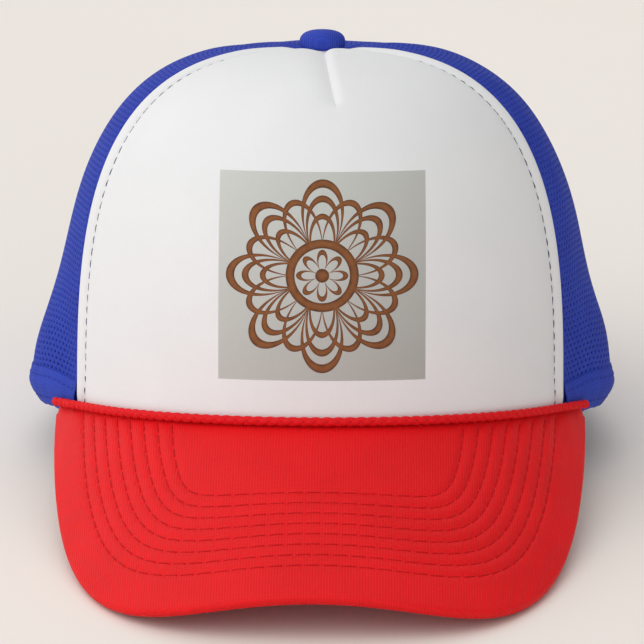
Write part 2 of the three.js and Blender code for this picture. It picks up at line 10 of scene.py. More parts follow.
import bmesh
import bpy
import numpy as np
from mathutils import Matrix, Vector, kdtree
from mathutils.bvhtree import BVHTree


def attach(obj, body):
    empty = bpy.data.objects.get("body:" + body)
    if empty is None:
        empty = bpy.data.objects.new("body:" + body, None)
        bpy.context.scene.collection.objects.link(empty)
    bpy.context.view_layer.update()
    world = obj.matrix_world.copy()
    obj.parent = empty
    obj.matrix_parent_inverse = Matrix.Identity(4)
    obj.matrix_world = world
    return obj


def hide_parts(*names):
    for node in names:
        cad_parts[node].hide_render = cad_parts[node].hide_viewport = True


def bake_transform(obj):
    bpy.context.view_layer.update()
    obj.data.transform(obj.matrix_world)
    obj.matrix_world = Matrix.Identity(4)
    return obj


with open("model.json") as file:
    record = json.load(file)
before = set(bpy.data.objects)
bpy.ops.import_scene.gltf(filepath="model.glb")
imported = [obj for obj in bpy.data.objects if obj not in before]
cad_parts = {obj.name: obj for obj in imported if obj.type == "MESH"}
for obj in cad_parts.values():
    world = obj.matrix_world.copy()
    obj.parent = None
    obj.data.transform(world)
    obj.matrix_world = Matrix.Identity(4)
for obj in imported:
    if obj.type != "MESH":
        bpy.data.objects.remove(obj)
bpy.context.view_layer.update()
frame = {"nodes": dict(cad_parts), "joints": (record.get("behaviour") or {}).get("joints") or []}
MM = 0.001
UP = np.array([0, 0, 1.0])

# Crown, with the driving dimensions of the CAD source
HALF_WIDTH = 84.9
HALF_DEPTH = 98.2
CROWN_HEIGHT = 117.3
APEX_FORWARD = 6.4
ROUNDNESS = 3.165
BULGE = 0.118
BULGE_RISE = 0.072
BULGE_ABOVE = 0.254
BULGE_BELOW = 0.104
BULGE_SPREAD = 20
HEM_ARCH = 8.7
HEM_KINK = 0.1
HEM_TUCK = 3.4
TOP_HOLE = 0.041
BUTTON_DIP = 1.2
BUTTON_DIP_RADII = (0.09, 0.19)
FRONT_SEAM = 66.3
SIDE_SEAM = 120
REAR_SEAM = 180
GAP = 0.3
FACE_SKIN = 0.8
FOAM_EDGE = 1.6
FOAM_FULL = 3.6
FOAM_BEVEL = (7, 13)
BINDING_OUT = 1.1
BINDING_IN = 2.2
BINDING_FOLD = 0.9
BINDING_SKIN = 0.4
HEM_BINDING_HEIGHT = 12
HEM_BINDING_END = 145.4
OPENING_BINDING_WIDTH = 8
OPENING_HALF_WIDTH = 43
OPENING_HEIGHT = 53
OPENING_ROUNDNESS = 0.8
FOOT_DROP = 1.2
REST_TILT = math.radians(9.73)

# Visor
VISOR_RADIUS = 115.8
VISOR_SLOPE = math.radians(31.35)
VISOR_TOP = 9.25
VISOR_LENGTH = 76
VISOR_HALF_WIDTH = 97.2
VISOR_BACK = 78.85
VISOR_SIDE_POWER = 4.03
VISOR_FRONT_POWER = 2.18
VISOR_SAG = 0.0021
VISOR_CORNER = 72.5
VISOR_CORNER_WIDTH = 0.5
VISOR_SEAM_LIFT = 0.3
VISOR_SKIN = 0.7
VISOR_THICKNESS = 3.6
BRAID_RADIUS = 1.4
BRAID_END = 74.6

# Size closure
STRAP_RADIUS = 120
STRAP_HALF_HEIGHT = 8
STRAP_FREE_X = 23
TAB_OUTER_X = 54
TAB_MIDDLE_DEPTH = 3.4
HINGE_X = 39.5
HINGE_HEIGHT = 11.5
PEG_PITCH = 8.5
PEG_FIRST_X = 17
PEG_COUNT = 6


# ---- Curves ----

def smoothstep(x, low, high):
    t = np.clip((np.asarray(x, float) - low) / (high - low), 0, 1)
    return t * t * (3 - 2 * t)


def lerp(a, b, t):
    return a + (b - a) * t


def bell(x, centre, width):
    return np.exp(-(((x - centre) / width) ** 2))


def unit(vectors):
    return vectors / np.linalg.norm(vectors, axis=-1, keepdims=True)


def stack(*columns):
    """Points from their coordinates, which are first spread to one shape."""
    return np.stack(np.broadcast_arrays(*columns), -1)


def circle(sides):
    """Evenly spaced angles round a whole turn."""
    return np.arange(sides) / sides * 2 * np.pi


def turned(flat):
    """Vectors in the plane, turned a quarter turn anticlockwise."""
    return stack(-flat[..., 1], flat[..., 0])


def distances(path):
    """How far along a path each of its points lies."""
    return np.concatenate([[0], np.cumsum(np.linalg.norm(np.diff(path, axis=0), axis=1))])


def walk(path, spacing):
    """Evenly spaced places along a path of points: positions as a fractional index."""
    lengths = distances(path)
    count = max(int(lengths[-1] / spacing), 1)
    return np.interp(np.arange(count + 1) * lengths[-1] / count, lengths, np.arange(len(path)))


def at_index(path, index):
    whole = np.arange(len(path))
    return stack(*(np.interp(index, whole, column) for column in path.T))


# ---- Crown surface ----

def profile(climb):
    """Share of the radius and of the height at a climb, on a superellipse."""
    c, s = np.cos(climb * np.pi / 2), np.sin(climb * np.pi / 2)
    size = (np.abs(c) ** ROUNDNESS + np.abs(s) ** ROUNDNESS) ** (-1 / ROUNDNESS)
    return size * c, size * s


def climb_at(rise):
    spread = (1 - np.abs(rise) ** ROUNDNESS) ** (1 / ROUNDNESS)
    return np.arctan2(rise, spread) / (np.pi / 2)


def bulge(azimuth, rise):
    reach = np.where(rise > BULGE_RISE, BULGE_ABOVE, BULGE_BELOW)
    behind = smoothstep(np.abs(azimuth), FRONT_SEAM, FRONT_SEAM + BULGE_SPREAD)
    return 1 + BULGE * bell(rise, BULGE_RISE, reach) * behind


def hem_line(azimuth):
    forward = np.cos(np.radians(azimuth))
    return HEM_ARCH * (forward + np.hypot(forward, HEM_KINK)) / 2


def foot(azimuth):
    """Height of the crown's lower edge; the front panel is tucked in below the hem line."""
    behind = smoothstep(np.abs(azimuth), FRONT_SEAM, FRONT_SEAM + 12)
    return hem_line(azimuth) - HEM_TUCK * (1 - behind)


def crown_face(azimuth, climb):
    spread, rise = profile(climb)
    reach = spread * bulge(azimuth, rise)
    angle = np.radians(azimuth)
    dip = BUTTON_DIP * (1 - smoothstep(spread, *BUTTON_DIP_RADII))
    return stack(
        HALF_WIDTH * np.sin(angle) * reach,
        -HALF_DEPTH * np.cos(angle) * reach - APEX_FORWARD * (1 - spread),
        lerp(foot(azimuth), CROWN_HEIGHT, rise) - dip)


def crown_normal(azimuth, climb):
    step = 0.002
    along = crown_face(azimuth + 1, climb) - crown_face(azimuth - 1, climb)
    up = crown_face(azimuth, climb + step) - crown_face(azimuth, climb - step)
    return unit(np.cross(along, up))


def crown_point(azimuth, climb, depth):
    offset = crown_normal(azimuth, climb) * np.asarray(depth)[..., None]
    return crown_face(azimuth, climb) - offset


def arc_degrees(length, climb):
    """Degrees of azimuth that span a length at a climb."""
    return np.degrees(length / (profile(climb)[0] * (HALF_WIDTH + HALF_DEPTH) / 2))


def climb_of_height(height):
    return climb_at(np.asarray(height) / CROWN_HEIGHT)


def climb_above(azimuth, height):
    """Climb at a height above the crown's lower edge."""
    return climb_at(height / (CROWN_HEIGHT - foot(azimuth)))


def rear_azimuth(x, rise):
    spread = profile(climb_at(rise))[0]
    return 180 - np.degrees(np.arcsin(x / (HALF_WIDTH * spread * bulge(180, rise))))


TOP_CLIMB = 1 - math.atan(TOP_HOLE) / (math.pi / 2)
_CLIMBS = np.linspace(0, 1, 2001)
_SPREADS, _RISES = profile(_CLIMBS)
_LENGTHS = np.concatenate([[0], np.cumsum(np.hypot(
    np.diff(_SPREADS) * HALF_DEPTH, np.diff(_RISES) * CROWN_HEIGHT))])


def climb_along(length):
    """Climb at a distance up the cloth from the hem."""
    return np.interp(length, _LENGTHS, _CLIMBS)


def length_at(climb):
    return np.interp(climb, _CLIMBS, _LENGTHS)


TOP_LENGTH = float(length_at(TOP_CLIMB))


def tipped(points):
    """The cap's own frame turned into the rest attitude, not yet moved."""
    c, s = math.cos(REST_TILT), math.sin(REST_TILT)
    x, y, z = np.moveaxis(np.asarray(points, float), -1, 0)
    return stack(x, y * c + z * s, -y * s + z * c)


_HINGE_RISE = HINGE_HEIGHT / CROWN_HEIGHT
_HINGE = tipped(crown_point(
    rear_azimuth(HINGE_X, _HINGE_RISE), climb_at(_HINGE_RISE), TAB_MIDDLE_DEPTH))
JOINTS = {joint["name"]: joint for joint in frame["joints"]}
HINGE = np.array(JOINTS["hole_strap_swing"]["pos_m"]) / MM
SHIFT = HINGE - _HINGE


def to_world(points):
    return (tipped(points) + SHIFT) * MM


# ---- Materials ----

def linear(*screen):
    """An 8-bit screen colour as the linear colour that shaders use."""
    return tuple(c / 12.92 if c <= 0.04045 else ((c + 0.055) / 1.055) ** 2.4
                 for c in (value / 255 for value in screen)) + (1.0,)


class Nodes:
    """A short way to write one material's node tree."""

    def __init__(self, name, roughness, **sockets):
        self.material = bpy.data.materials.new(name)
        self.material.use_nodes = True
        self.tree = self.material.node_tree
        self.shader = self.tree.nodes["Principled BSDF"]
        self.shader.inputs["Roughness"].default_value = roughness
        for socket, value in sockets.items():
            self.shader.inputs[socket.replace("_", " ")].default_value = value

    def node(self, kind, inputs=(), **settings):
        node = self.tree.nodes.new(kind)
        for key, value in settings.items():
            setattr(node, key, value)
        for key, value in dict(inputs).items():
            self.put(node.inputs[key], value)
        return node

    def put(self, socket, value):
        if isinstance(value, bpy.types.NodeSocket):
            self.tree.links.new(value, socket)
        else:
            socket.default_value = value

    def math(self, operation, *values):
        node = self.node("ShaderNodeMath", enumerate(values), operation=operation)
        return node.outputs[0]

    def mean(self, a, b, share):
        """A share of a, and the rest of b."""
        return self.math("MULTIPLY_ADD", a, share, self.math("MULTIPLY", b, 1 - share))

    def mix(self, share, a, b):
        node = self.node("ShaderNodeMix", {0: share, 6: a, 7: b}, data_type="RGBA")
        return node.outputs[2]

    def smooth_range(self, value, low, high):
        """0 below low, 1 above high, smooth between."""
        inputs = {"Value": value, "From Min": low, "From Max": high, "To Min": 0.0, "To Max": 1.0}
        return self.node("ShaderNodeMapRange", inputs, interpolation_type="SMOOTHSTEP").outputs[0]

    def cloth(self):
        """Coordinates across and along the cloth, in millimetres."""
        uv = self.node("ShaderNodeUVMap", uv_map="cloth")
        split = self.node("ShaderNodeSeparateXYZ", {0: uv.outputs[0]})
        return split.outputs[0], split.outputs[1]

    def noise(self, scale, detail=2.0):
        place = self.node("ShaderNodeTexCoord").outputs["Object"]
        inputs = {"Vector": place, "Scale": scale, "Detail": detail}
        return self.node("ShaderNodeTexNoise", inputs).outputs["Fac"]

    def wave(self, value, pitch):
        """0 to 1 and back once every pitch."""
        turn = self.math("MULTIPLY", value, 2 * math.pi / pitch)
        return self.math("MULTIPLY_ADD", self.math("SINE", turn), 0.5, 0.5)

    def knit(self, pitch):
        """Height of a jersey knit: columns of slanted loops."""
        across, along = self.cloth()
        column = self.math("PINGPONG", self.math("DIVIDE", across, pitch), 0.5)
        slant = self.math("MULTIPLY_ADD", column, 1.4 * pitch, along)
        ribs = self.math("POWER", self.math("MULTIPLY", column, 2.0), 0.6)
        return self.math("MULTIPLY", ribs, self.wave(slant, pitch * 0.9))

    def weave(self, pitch):
        """Height of a plain weave with slightly stronger cords along the cloth."""
        across, along = self.cloth()
        return self.mean(self.wave(across, pitch), self.wave(along, pitch * 1.3), 0.65)

    def finish(self, fine, tones, drift, depth, strength):
        """Relief of a depth in mm, and colour between two tones, from one fine texture.

        drift is the scale at which the colour also varies broadly, or None.
        """
        share = self.mean(fine, self.noise(drift, 3.0), 0.55) if drift else fine
        self.put(self.shader.inputs["Base Color"], self.mix(share, *(linear(*t) for t in tones)))
        bump = self.node("ShaderNodeBump", {
            "Height": fine, "Distance": depth * MM, "Strength": strength})
        self.put(self.shader.inputs["Normal"], bump.outputs[0])
        return self


def grained(name, roughness, tones, grain, drift, depth, strength, gloss=None, **sockets):
    """A material with an irregular grain of (scale, detail).

    gloss, if given, is how much the grain adds to the roughness, and the least roughness.
    """
    nodes = Nodes(name, roughness, **sockets)
    fine = nodes.noise(*grain)
    if gloss:
        nodes.put(nodes.shader.inputs["Roughness"], nodes.math("MULTIPLY_ADD", fine, *gloss))
    return nodes.finish(fine, tones, drift, depth, strength).material


def thread(name, *tones):
    return grained(name, 0.65, tones, (2200.0, 2.0), None, 0.08, 0.6, Specular_IOR_Level=0.2)


def white_cloth(name):
    nodes = Nodes(name, 0.9, Sheen_Weight=0.06, Sheen_Roughness=0.5, Specular_IOR_Level=0.2)
    return nodes.finish(nodes.knit(0.8), ((224, 224, 225), (238, 238, 239)), 40.0, 0.05, 0.6)


def blue_cloth():
    nodes = Nodes("blue_cloth", 0.7, Specular_IOR_Level=0.15)
    return nodes.finish(nodes.weave(0.7), ((30, 46, 144), (60, 82, 194)), 60.0, 0.08, 0.7)


def red_cloth():
    nodes = Nodes("red_cloth", 0.6, Specular_IOR_Level=0.24)
    fine = nodes.mean(nodes.weave(0.86), nodes.noise(700.0, 4.0), 0.6)
    return nodes.finish(fine, ((198, 2, 6), (248, 14, 24)), 45.0, 0.16, 0.9)


PRINT_HALF_WIDTH = 34.9
PRINT_HALF_HEIGHT = 33.7
PRINT_MIDDLE = 51.8
PRINT_RIGHT = 1.5
PRINT_WOOD = ((54, 28, 18), (138, 88, 54))
PRINT_GROUND = ((200, 201, 197), (172, 172, 168))
PETALS = 8
# Rings of open petals: base, reach, power, half width of the line, turn. Without reach a ring
# is round.
PRINT_LINES = [
    (0.3, 0.58, 0.55, 0.045, 0.0),
    (0.3, 0.43, 0.8, 0.036, 0.0),
    (0.28, 0.28, 1.0, 0.03, 0.0),
    (0.28, 0.46, 0.7, 0.034, math.pi / 2),
    (0.05, 0.17, 0.6, 0.026, 0.0),
    (0.3, 0.0, 1.0, 0.045, 0.0),
    (0.0, 0.0, 1.0, 0.07, 0.0),
]


def printed_cloth():
    """The front cloth with its printed square: a round rosette of open petals."""
    nodes = white_cloth("printed_white_cloth")
    calc = nodes.math
    across, along = nodes.cloth()
    u = calc("DIVIDE", calc("SUBTRACT", across, PRINT_RIGHT), PRINT_HALF_WIDTH)
    v = calc("DIVIDE", calc("SUBTRACT", along, PRINT_MIDDLE), PRINT_HALF_HEIGHT)
    edge = calc("MAXIMUM", calc("ABSOLUTE", u), calc("ABSOLUTE", v))
    inside = calc("SUBTRACT", 1.0, nodes.smooth_range(edge, 0.992, 1.0))
    radius = calc("SQRT", calc("ADD", calc("MULTIPLY", u, u), calc("MULTIPLY", v, v)))
    angle = calc("ARCTAN2", v, u)
    on, relief = 0.0, -1e6
    for base, reach, power, half_width, phase in PRINT_LINES:
        turn = calc("MULTIPLY_ADD", angle, PETALS / 2, phase)
        lobe = calc("POWER", calc("ABSOLUTE", calc("COSINE", turn)), power)
        off = calc("SUBTRACT", radius, calc("MULTIPLY_ADD", lobe, reach, base))
        away = calc("DIVIDE", calc("ABSOLUTE", off), half_width)
        on = calc("MAXIMUM", on, calc("SUBTRACT", 1.0, nodes.smooth_range(away, 0.86, 1.0)))
        relief = calc("MAXIMUM", relief, calc("SUBTRACT", 1.0, calc("MULTIPLY", away, away)))
    tone = nodes.mean(nodes.noise(420.0, 5.0), relief, 0.5)
    wood = nodes.mix(nodes.smooth_range(tone, 0.1, 0.9), *(linear(*t) for t in PRINT_WOOD))
    shade = calc("MULTIPLY_ADD", calc("SUBTRACT", u, v), 0.25, 0.5)
    ground = nodes.mix(shade, *(linear(*t) for t in PRINT_GROUND))
    colour = nodes.shader.inputs["Base Color"]
    plain = colour.links[0].from_socket
    nodes.put(colour, nodes.mix(inside, plain, nodes.mix(on, ground, wood)))
    return nodes.material


WHITE_CLOTH = white_cloth("white_cloth").material
PRINTED_CLOTH = printed_cloth()
BLUE_CLOTH = blue_cloth().material
RED_CLOTH = red_cloth().material
FOAM = grained("foam", 0.95, ((222, 220, 208), (246, 244, 236)), (1400.0, 4.0), None, 0.3, 0.7)
BLUE_MESH = grained("blue_mesh", 0.66, ((28, 44, 142), (56, 78, 190)), (2600.0, 3.0), 55.0,
                    0.12, 0.5, Specular_IOR_Level=0.12)
BLUE_PLASTIC = grained("blue_plastic", 0.42, ((36, 48, 138), (54, 68, 168)), (900.0, 3.0), 70.0,
                       0.03, 0.5, gloss=(0.2, 0.34), Specular_IOR_Level=0.5)
BOARD = grained("visor_board", 0.5, ((205, 205, 200), (224, 224, 219)), (600.0, 2.0), None,
                0.02, 1.0)
STEEL = grained("button_steel", 0.35, ((160, 164, 168), (200, 204, 208)), (800.0, 6.0), None,
                0.01, 0.4, gloss=(0.25, 0.22), Metallic=1.0)
RED_BRAID = thread("red_braid", (190, 2, 10), (246, 24, 34))
RED_THREAD = thread("red_thread", (160, 4, 12), (212, 18, 28))
BLUE_THREAD = thread("blue_thread", (30, 44, 136), (54, 72, 180))
NAVY_THREAD = thread("navy_thread", (18, 24, 66), (40, 48, 104))


# ---- Meshes ----

def numbered(*shape):
    """Point numbers, in an array of a shape."""
    return np.arange(math.prod(shape)).reshape(shape)


def quads(index, after):
    """Quads between rows of point numbers; after holds each point's neighbour in its row."""
    return stack(index[..., :-1, :], after[..., :-1, :],
                 after[..., 1:, :], index[..., 1:, :]).reshape(-1, 4)


def grid_faces(index):
    return quads(index[:, :-1], index[:, 1:])


def ring_faces(index):
    """Quads between rings of points: each row of point numbers closes on itself."""
    return quads(index, np.roll(index, -1, -1))


def tube_faces(index):
    """Faces of capped tubes, from point numbers by tube, station and side."""
    faces = ring_faces(index).tolist()
    for tube in index.tolist():
        faces += [tube[0][::-1], tube[-1]]
    return faces


def solid_between(outer, inner):
    """Points and quads of the closed solid between two matching grids of points."""
    index = numbered(*outer.shape[:2])
    border = np.concatenate([
        index[0, :-1], index[:-1, -1], index[-1, :0:-1], index[:0:-1, 0]])
    following = np.roll(border, -1)
    walls = stack(following, border, border + index.size, following + index.size)
    faces = np.concatenate([grid_faces(index), grid_faces(index + index.size)[:, ::-1], walls])
    return np.concatenate([outer.reshape(-1, 3), inner.reshape(-1, 3)]), faces


def tubes(paths, radii, sides=8):
    """Round capped tubes along paths (tube, station, 3) with a radius at each station."""
    paths = np.asarray(paths, float)
    tangent = unit(np.gradient(paths, axis=1))
    across = unit(np.cross(tangent, [0.13, 0.21, 0.97]))
    up = np.cross(across, tangent)
    angle = circle(sides)
    radii = np.broadcast_to(radii, paths.shape[:2])[..., None, None]
    ring = across[:, :, None] * np.cos(angle)[:, None] + up[:, :, None] * np.sin(angle)[:, None]
    points = paths[:, :, None] + ring * radii
    return points.reshape(-1, 3), tube_faces(numbered(*points.shape[:3]))


def add_object(name, data):
    added = bpy.data.objects.new(name, data)
    bpy.context.scene.collection.objects.link(added)
    return added


def make_piece(name, points, faces, materials, uv=None, material_of=None, merge=0.0):
    """A mesh object from points in metres. uv is per point, in millimetres of cloth."""
    mesh = bpy.data.meshes.new(name)
    faces = faces.tolist() if hasattr(faces, "tolist") else faces
    mesh.from_pydata(np.asarray(points).tolist(), [], faces)
    for material in materials:
        mesh.materials.append(material)
    if material_of is not None:
        mesh.polygons.foreach_set("material_index", np.asarray(material_of, np.int32))
    if uv is not None:
        corners = np.zeros(len(mesh.loops), np.int32)
        mesh.loops.foreach_get("vertex_index", corners)
        layer = mesh.uv_layers.new(name="cloth")
        layer.data.foreach_set("uv", np.asarray(uv, np.float32)[corners].ravel())
    work = bmesh.new()
    work.from_mesh(mesh)
    if merge:
        bmesh.ops.remove_doubles(work, verts=work.verts, dist=merge)
    bmesh.ops.recalc_face_normals(work, faces=work.faces)
    work.to_mesh(mesh)
    work.free()
    mesh.polygons.foreach_set("use_smooth", [True] * len(mesh.polygons))
    return add_object(name, mesh)


def place(piece, slot, *nodes):
    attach(piece, "crown")
    if nodes:
        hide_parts(*nodes)
    return piece


def layer_piece(name, outer, inner, materials, slot, node, cloth):
    """A sewn-in layer between two grids of points, never below the table.

    A second material covers the inner half. cloth holds the grids of distances across and
    along the cloth.
    """
    points, faces = solid_between(outer, inner)
    points = to_world(points)
    points[:, 2] = points[:, 2].clip(0)
    uv = stack(*cloth).reshape(-1, 2)
    material_of = (np.arange(len(faces)) >= len(faces) // 2) * (len(materials) - 1)
    piece = make_piece(name, points, faces, materials, np.concatenate([uv, uv]), material_of)
    return place(piece, slot, node)


def dress(name, material):
    """Gives a CAD solid that stays in view its material."""
    node = frame["nodes"][name]
    node.data.materials.clear()
    node.data.materials.append(material)


# ---- Stitches ----

# Pitch, radius and lift of the stitches, and how much of the pitch shows
BINDING_STITCH = (2.9, 0.2, 0.08, 0.72)
TAPE_STITCH = (3.2, 0.2, 0.06, 0.72)
SWEATBAND_STITCH = (3.4, 0.22, 0.08, 0.72)
FRONT_STITCH = (3.7, 0.3, 0.1, 0.66)
VISOR_STITCH = (5.4, 0.2, 0.02, 0.76)
STITCH_TAPER = np.array([0.75, 0.95, 1, 1, 0.95, 0.75])
REACH_BACK = 0.006  # how far before a surface a search for it starts, and the search's length
REACH = 0.012


def laid_on(tree, points, directions, lift):
    """Points moved along directions onto a surface and back by a lift; None if one misses."""
    landed = []
    for point, direction in zip(points, directions):
        direction = Vector(direction)
        hit = tree.ray_cast(Vector(point) - direction * REACH_BACK, direction, REACH)[0]
        if hit is None:
            return None
        landed.append(hit - direction * lift)
    return np.array(landed)


def stitches(name, rows, piece, kind, material=BLUE_THREAD, slot="blue_cloth"):
    """Running stitches along rows of (points, directions towards the cloth), laid on a piece."""
    pitch, radius, lift, share = kind
    tree = BVHTree.FromPolygons(
        [v.co for v in piece.data.vertices], [p.vertices[:] for p in piece.data.polygons])
    paths = []
    for points, inward in rows:
        marks = walk(points, pitch * MM)
        for start, end in zip(marks[:-1], marks[1:]):
            steps = np.linspace(start, lerp(start, end, share), len(STITCH_TAPER))
            towards = unit(at_index(inward, steps))
            path = laid_on(tree, at_index(points, steps), towards, lift * MM)
            if path is not None:
                paths.append(path)
    points, faces = tubes(paths, STITCH_TAPER * radius * MM, 7)
    place(make_piece(name, points, faces, [material]), slot)


def crown_row(azimuth, climb, depth, facing=-1):
    """A row of stitches on the crown, laid from outside (facing -1) or from inside (1)."""
    return (to_world(crown_point(azimuth, climb, depth)),
            facing * tipped(crown_normal(azimuth, climb)))


def sewn_layer(name, outer, inner, cloth, rows, kind):
    """A layer of blue cloth that stands for a node, and its rows of stitches."""
    piece = layer_piece(f"{name}_cloth", outer, inner, [BLUE_CLOTH], "blue_cloth", name, cloth)
    stitches(f"{name}_stitches", rows, piece, kind)


# ---- Front panel ----

STITCH_INSET = 7.0  # topstitch line, from the seam
STITCH_END = 38.0  # how far below the button the topstitch ends
GROOVE_DEPTH = 0.85  # of the cloth along the topstitch
GROOVE_WIDTH = 0.75
PUCKER = 0.22  # how unevenly each stitch pulls the groove in
PUFF = 0.9  # swell between the topstitch and the seam
PAD = 0.55  # swell of the whole panel within the topstitch
RIM_ROLL = 1.5
EDGE_ZONE = 12.0  # strip beside each seam that is modelled finely
DART_LENGTH = 67.0  # a sewn fold that runs down from the button, to the wearer's left
DART_X = (1.0, 5.6)
DART_CURVE = 2.4
DART_DEPTH = 1.7


def dart_line(below_button):
    """How far across the dart runs, at distances down the cloth from the button."""
    return lerp(*DART_X, np.clip(below_button / DART_LENGTH, 0, 1) ** DART_CURVE)


def stitch_inset(length):
    return STITCH_INSET - 1.2 * (1 - smoothstep(length, 4, 16))


def front_columns(length):
    """Azimuths across the front panel at distances up the cloth, and distances from its seam."""
    climb = climb_along(length)
    per_mm = arc_degrees(1, climb)
    half = (FRONT_SEAM - arc_degrees(GAP / 2, climb)) / per_mm
    zone = np.minimum(EDGE_ZONE, 0.62 * half)
    left = -half[:, None] + np.linspace(0, 1, 26)[:-1] * zone[:, None]
    room = half - zone
    line = dart_line(TOP_LENGTH - length)
    stops = stack(
        -room, np.maximum(line - 8, -room * 0.6), np.maximum(line - 2.2, -room * 0.3),
        np.minimum(line + 1.2, room * 0.4), np.minimum(line + 4, room * 0.7), room)
    middle = [lerp(stops[:, i, None], stops[:, i + 1, None], np.linspace(0, 1, count + 1)[:-1])
              for i, count in enumerate((20, 9, 14, 5, 20))]
    across = np.concatenate([left, *middle, room[:, None], -left[:, ::-1]], 1)
    return across * per_mm[:, None], across, half[:, None] - np.abs(across)


def front_relief(across, edge, length):
    """How far the front cloth stands proud of the CAD face."""
    sewn = 1 - smoothstep(length, TOP_LENGTH - 30, TOP_LENGTH - 8)
    pucker = 1 + PUCKER * np.sin(length * 2 * np.pi / FRONT_STITCH[0])
    inset = stitch_inset(length)
    puff = PUFF * bell(edge, inset * 0.48, inset * 0.34) * (0.3 + 0.7 * sewn)
    groove = -GROOVE_DEPTH * bell(edge, inset, GROOVE_WIDTH) * sewn * pucker
    rolled = -RIM_ROLL * (1 - smoothstep(edge, 0, RIM_ROLL))
    pad = PAD * smoothstep(edge, inset + 0.4, inset + 6)
    top = TOP_LENGTH - length
    side = across - dart_line(top)
    slope = bell(side, 0, np.where(side < 0, 5.0, 1.8))
    crease = np.exp(-np.abs(side) / np.where(side < 0, 1.6, 0.5))
    fade = smoothstep(top, 0, 10) * (1 - smoothstep(top, DART_LENGTH - 1.5, DART_LENGTH + 1.5))
    dart = -DART_DEPTH * (0.45 * slope + 0.55 * crease) * fade
    hem = -0.5 * (1 - smoothstep(length, HEM_TUCK, HEM_TUCK + 5))
    return puff + groove + rolled + pad + dart + hem


def front_panel():
    fine_from = TOP_LENGTH - 40
    length = np.concatenate([
        np.linspace(0, fine_from, 70)[:-1], np.linspace(fine_from, TOP_LENGTH, 56)])[:, None]
    azimuth, across, edge = front_columns(length[:, 0])
    climb = climb_along(length)
    rise = front_relief(across, edge, length)
    under_skin = FACE_SKIN - np.minimum(rise, FACE_SKIN) * 0.9
    foam_depth = lerp(FOAM_EDGE, FOAM_FULL, smoothstep(edge, *FOAM_BEVEL)) + 0.25
    outer, middle, below, inner = (
        crown_point(azimuth, climb, depth)
        for depth in (-rise, under_skin, under_skin + 0.08, foam_depth))
    cloth = (across, length)
    skin = layer_piece("front_panel_cloth", outer, middle, [PRINTED_CLOTH, WHITE_CLOTH],
                       "white_cloth", "front_face", cloth)
    foam = layer_piece("front_panel_foam", below, inner, [FOAM], "foam", "front_foam", cloth)
    return skin


def front_topstitch(panel):
    length = np.linspace(HEM_TUCK + 1, TOP_LENGTH - STITCH_END, 200)
    climb = climb_along(length)
    azimuth = FRONT_SEAM - arc_degrees(GAP / 2 + stitch_inset(length), climb)
    rows = [crown_row(side * azimuth, climb, 0) for side in (-1, 1)]
    stitches("front_topstitch", rows, panel, FRONT_STITCH, NAVY_THREAD)


# ---- Mesh panels ----

MESH_PITCH = 2.1
MESH_HOLE = 0.42  # hole size as a share of its cell
MESH_THICKNESS = 0.85
MESH_RIM = 1.2  # least distance of a hole's centre from the seam
MESH_FOOT = 1.0
LEFT_FULLNESS = 1.1  # swell of the side mesh on the wearer's left


def hex_cells(width, height):
    """Centres of a honeycomb over a box, and the six corners of a cell around its centre."""
    size = MESH_PITCH / math.sqrt(3)
    angle = np.radians(np.arange(6) * 60 + 30)
    corners = size * stack(np.cos(angle), np.sin(angle))
    rows = int(height / (1.5 * size)) + 2
    columns = int(width / MESH_PITCH) + 2
    j, i = np.mgrid[0:rows, 0:columns]
    x = (i - columns / 2 + 0.5 * (j % 2)) * MESH_PITCH
    return stack(x, j * 1.5 * size).reshape(-1, 2), corners


def outline_distance(points, outline):
    """Distance from each point to a polyline, both in the plane."""
    best = np.full(len(points), 1e9)
    for start, step in zip(outline[:-1], np.diff(outline, axis=0)):
        t = np.clip(((points - start) @ step) / max(step @ step, 1e-12), 0, 1)
        best = np.minimum(best, np.linalg.norm(points - start - t[:, None] * step, axis=1))
    return best


def opening_height(share):
    return (OPENING_HEIGHT + FOOT_DROP) * share ** OPENING_ROUNDNESS - FOOT_DROP


def opening_edge(t, out):
    """The rear opening's edge, pushed out by a distance: x and height, for t from -1 to 1."""
    def at(s):
        angle = s * np.pi / 2
        return stack(OPENING_HALF_WIDTH * np.sin(angle), opening_height(np.cos(angle).clip(0)))
    side = np.minimum(np.abs(t), 0.998) * np.sign(t)
    tangent = unit(at(side + 0.002) - at(side - 0.002))
    return at(t) + turned(tangent) * np.asarray(out)[..., None]


OPENING_OUTLINE = opening_edge(np.linspace(-1, 1, 161), 0)


def outside_opening(points):
    """Signed distance of (x, height) places from the rear opening, positive on the cloth."""
    x, height = points.T
    away = outline_distance(points, OPENING_OUTLINE)
    share = np.sqrt(np.clip(1 - (x / OPENING_HALF_WIDTH) ** 2, 0, 1))
    inside = (np.abs(x) < OPENING_HALF_WIDTH) & (height < opening_height(share))
    return np.where(inside, -away, away)


def mesh_relief(azimuth, length, seed):
    """Soft unevenness of the unsupported mesh."""
    rng = np.random.default_rng(seed)
    total = 0
    for _ in range(5):
        turns = rng.uniform(0.02, 0.08)
        climbs, phase = rng.uniform(0.02, 0.07), rng.uniform(0, 6.3)
        total = total + np.sin(azimuth * turns * 2 + length * climbs * 2 + phase)
    return 0.14 * total


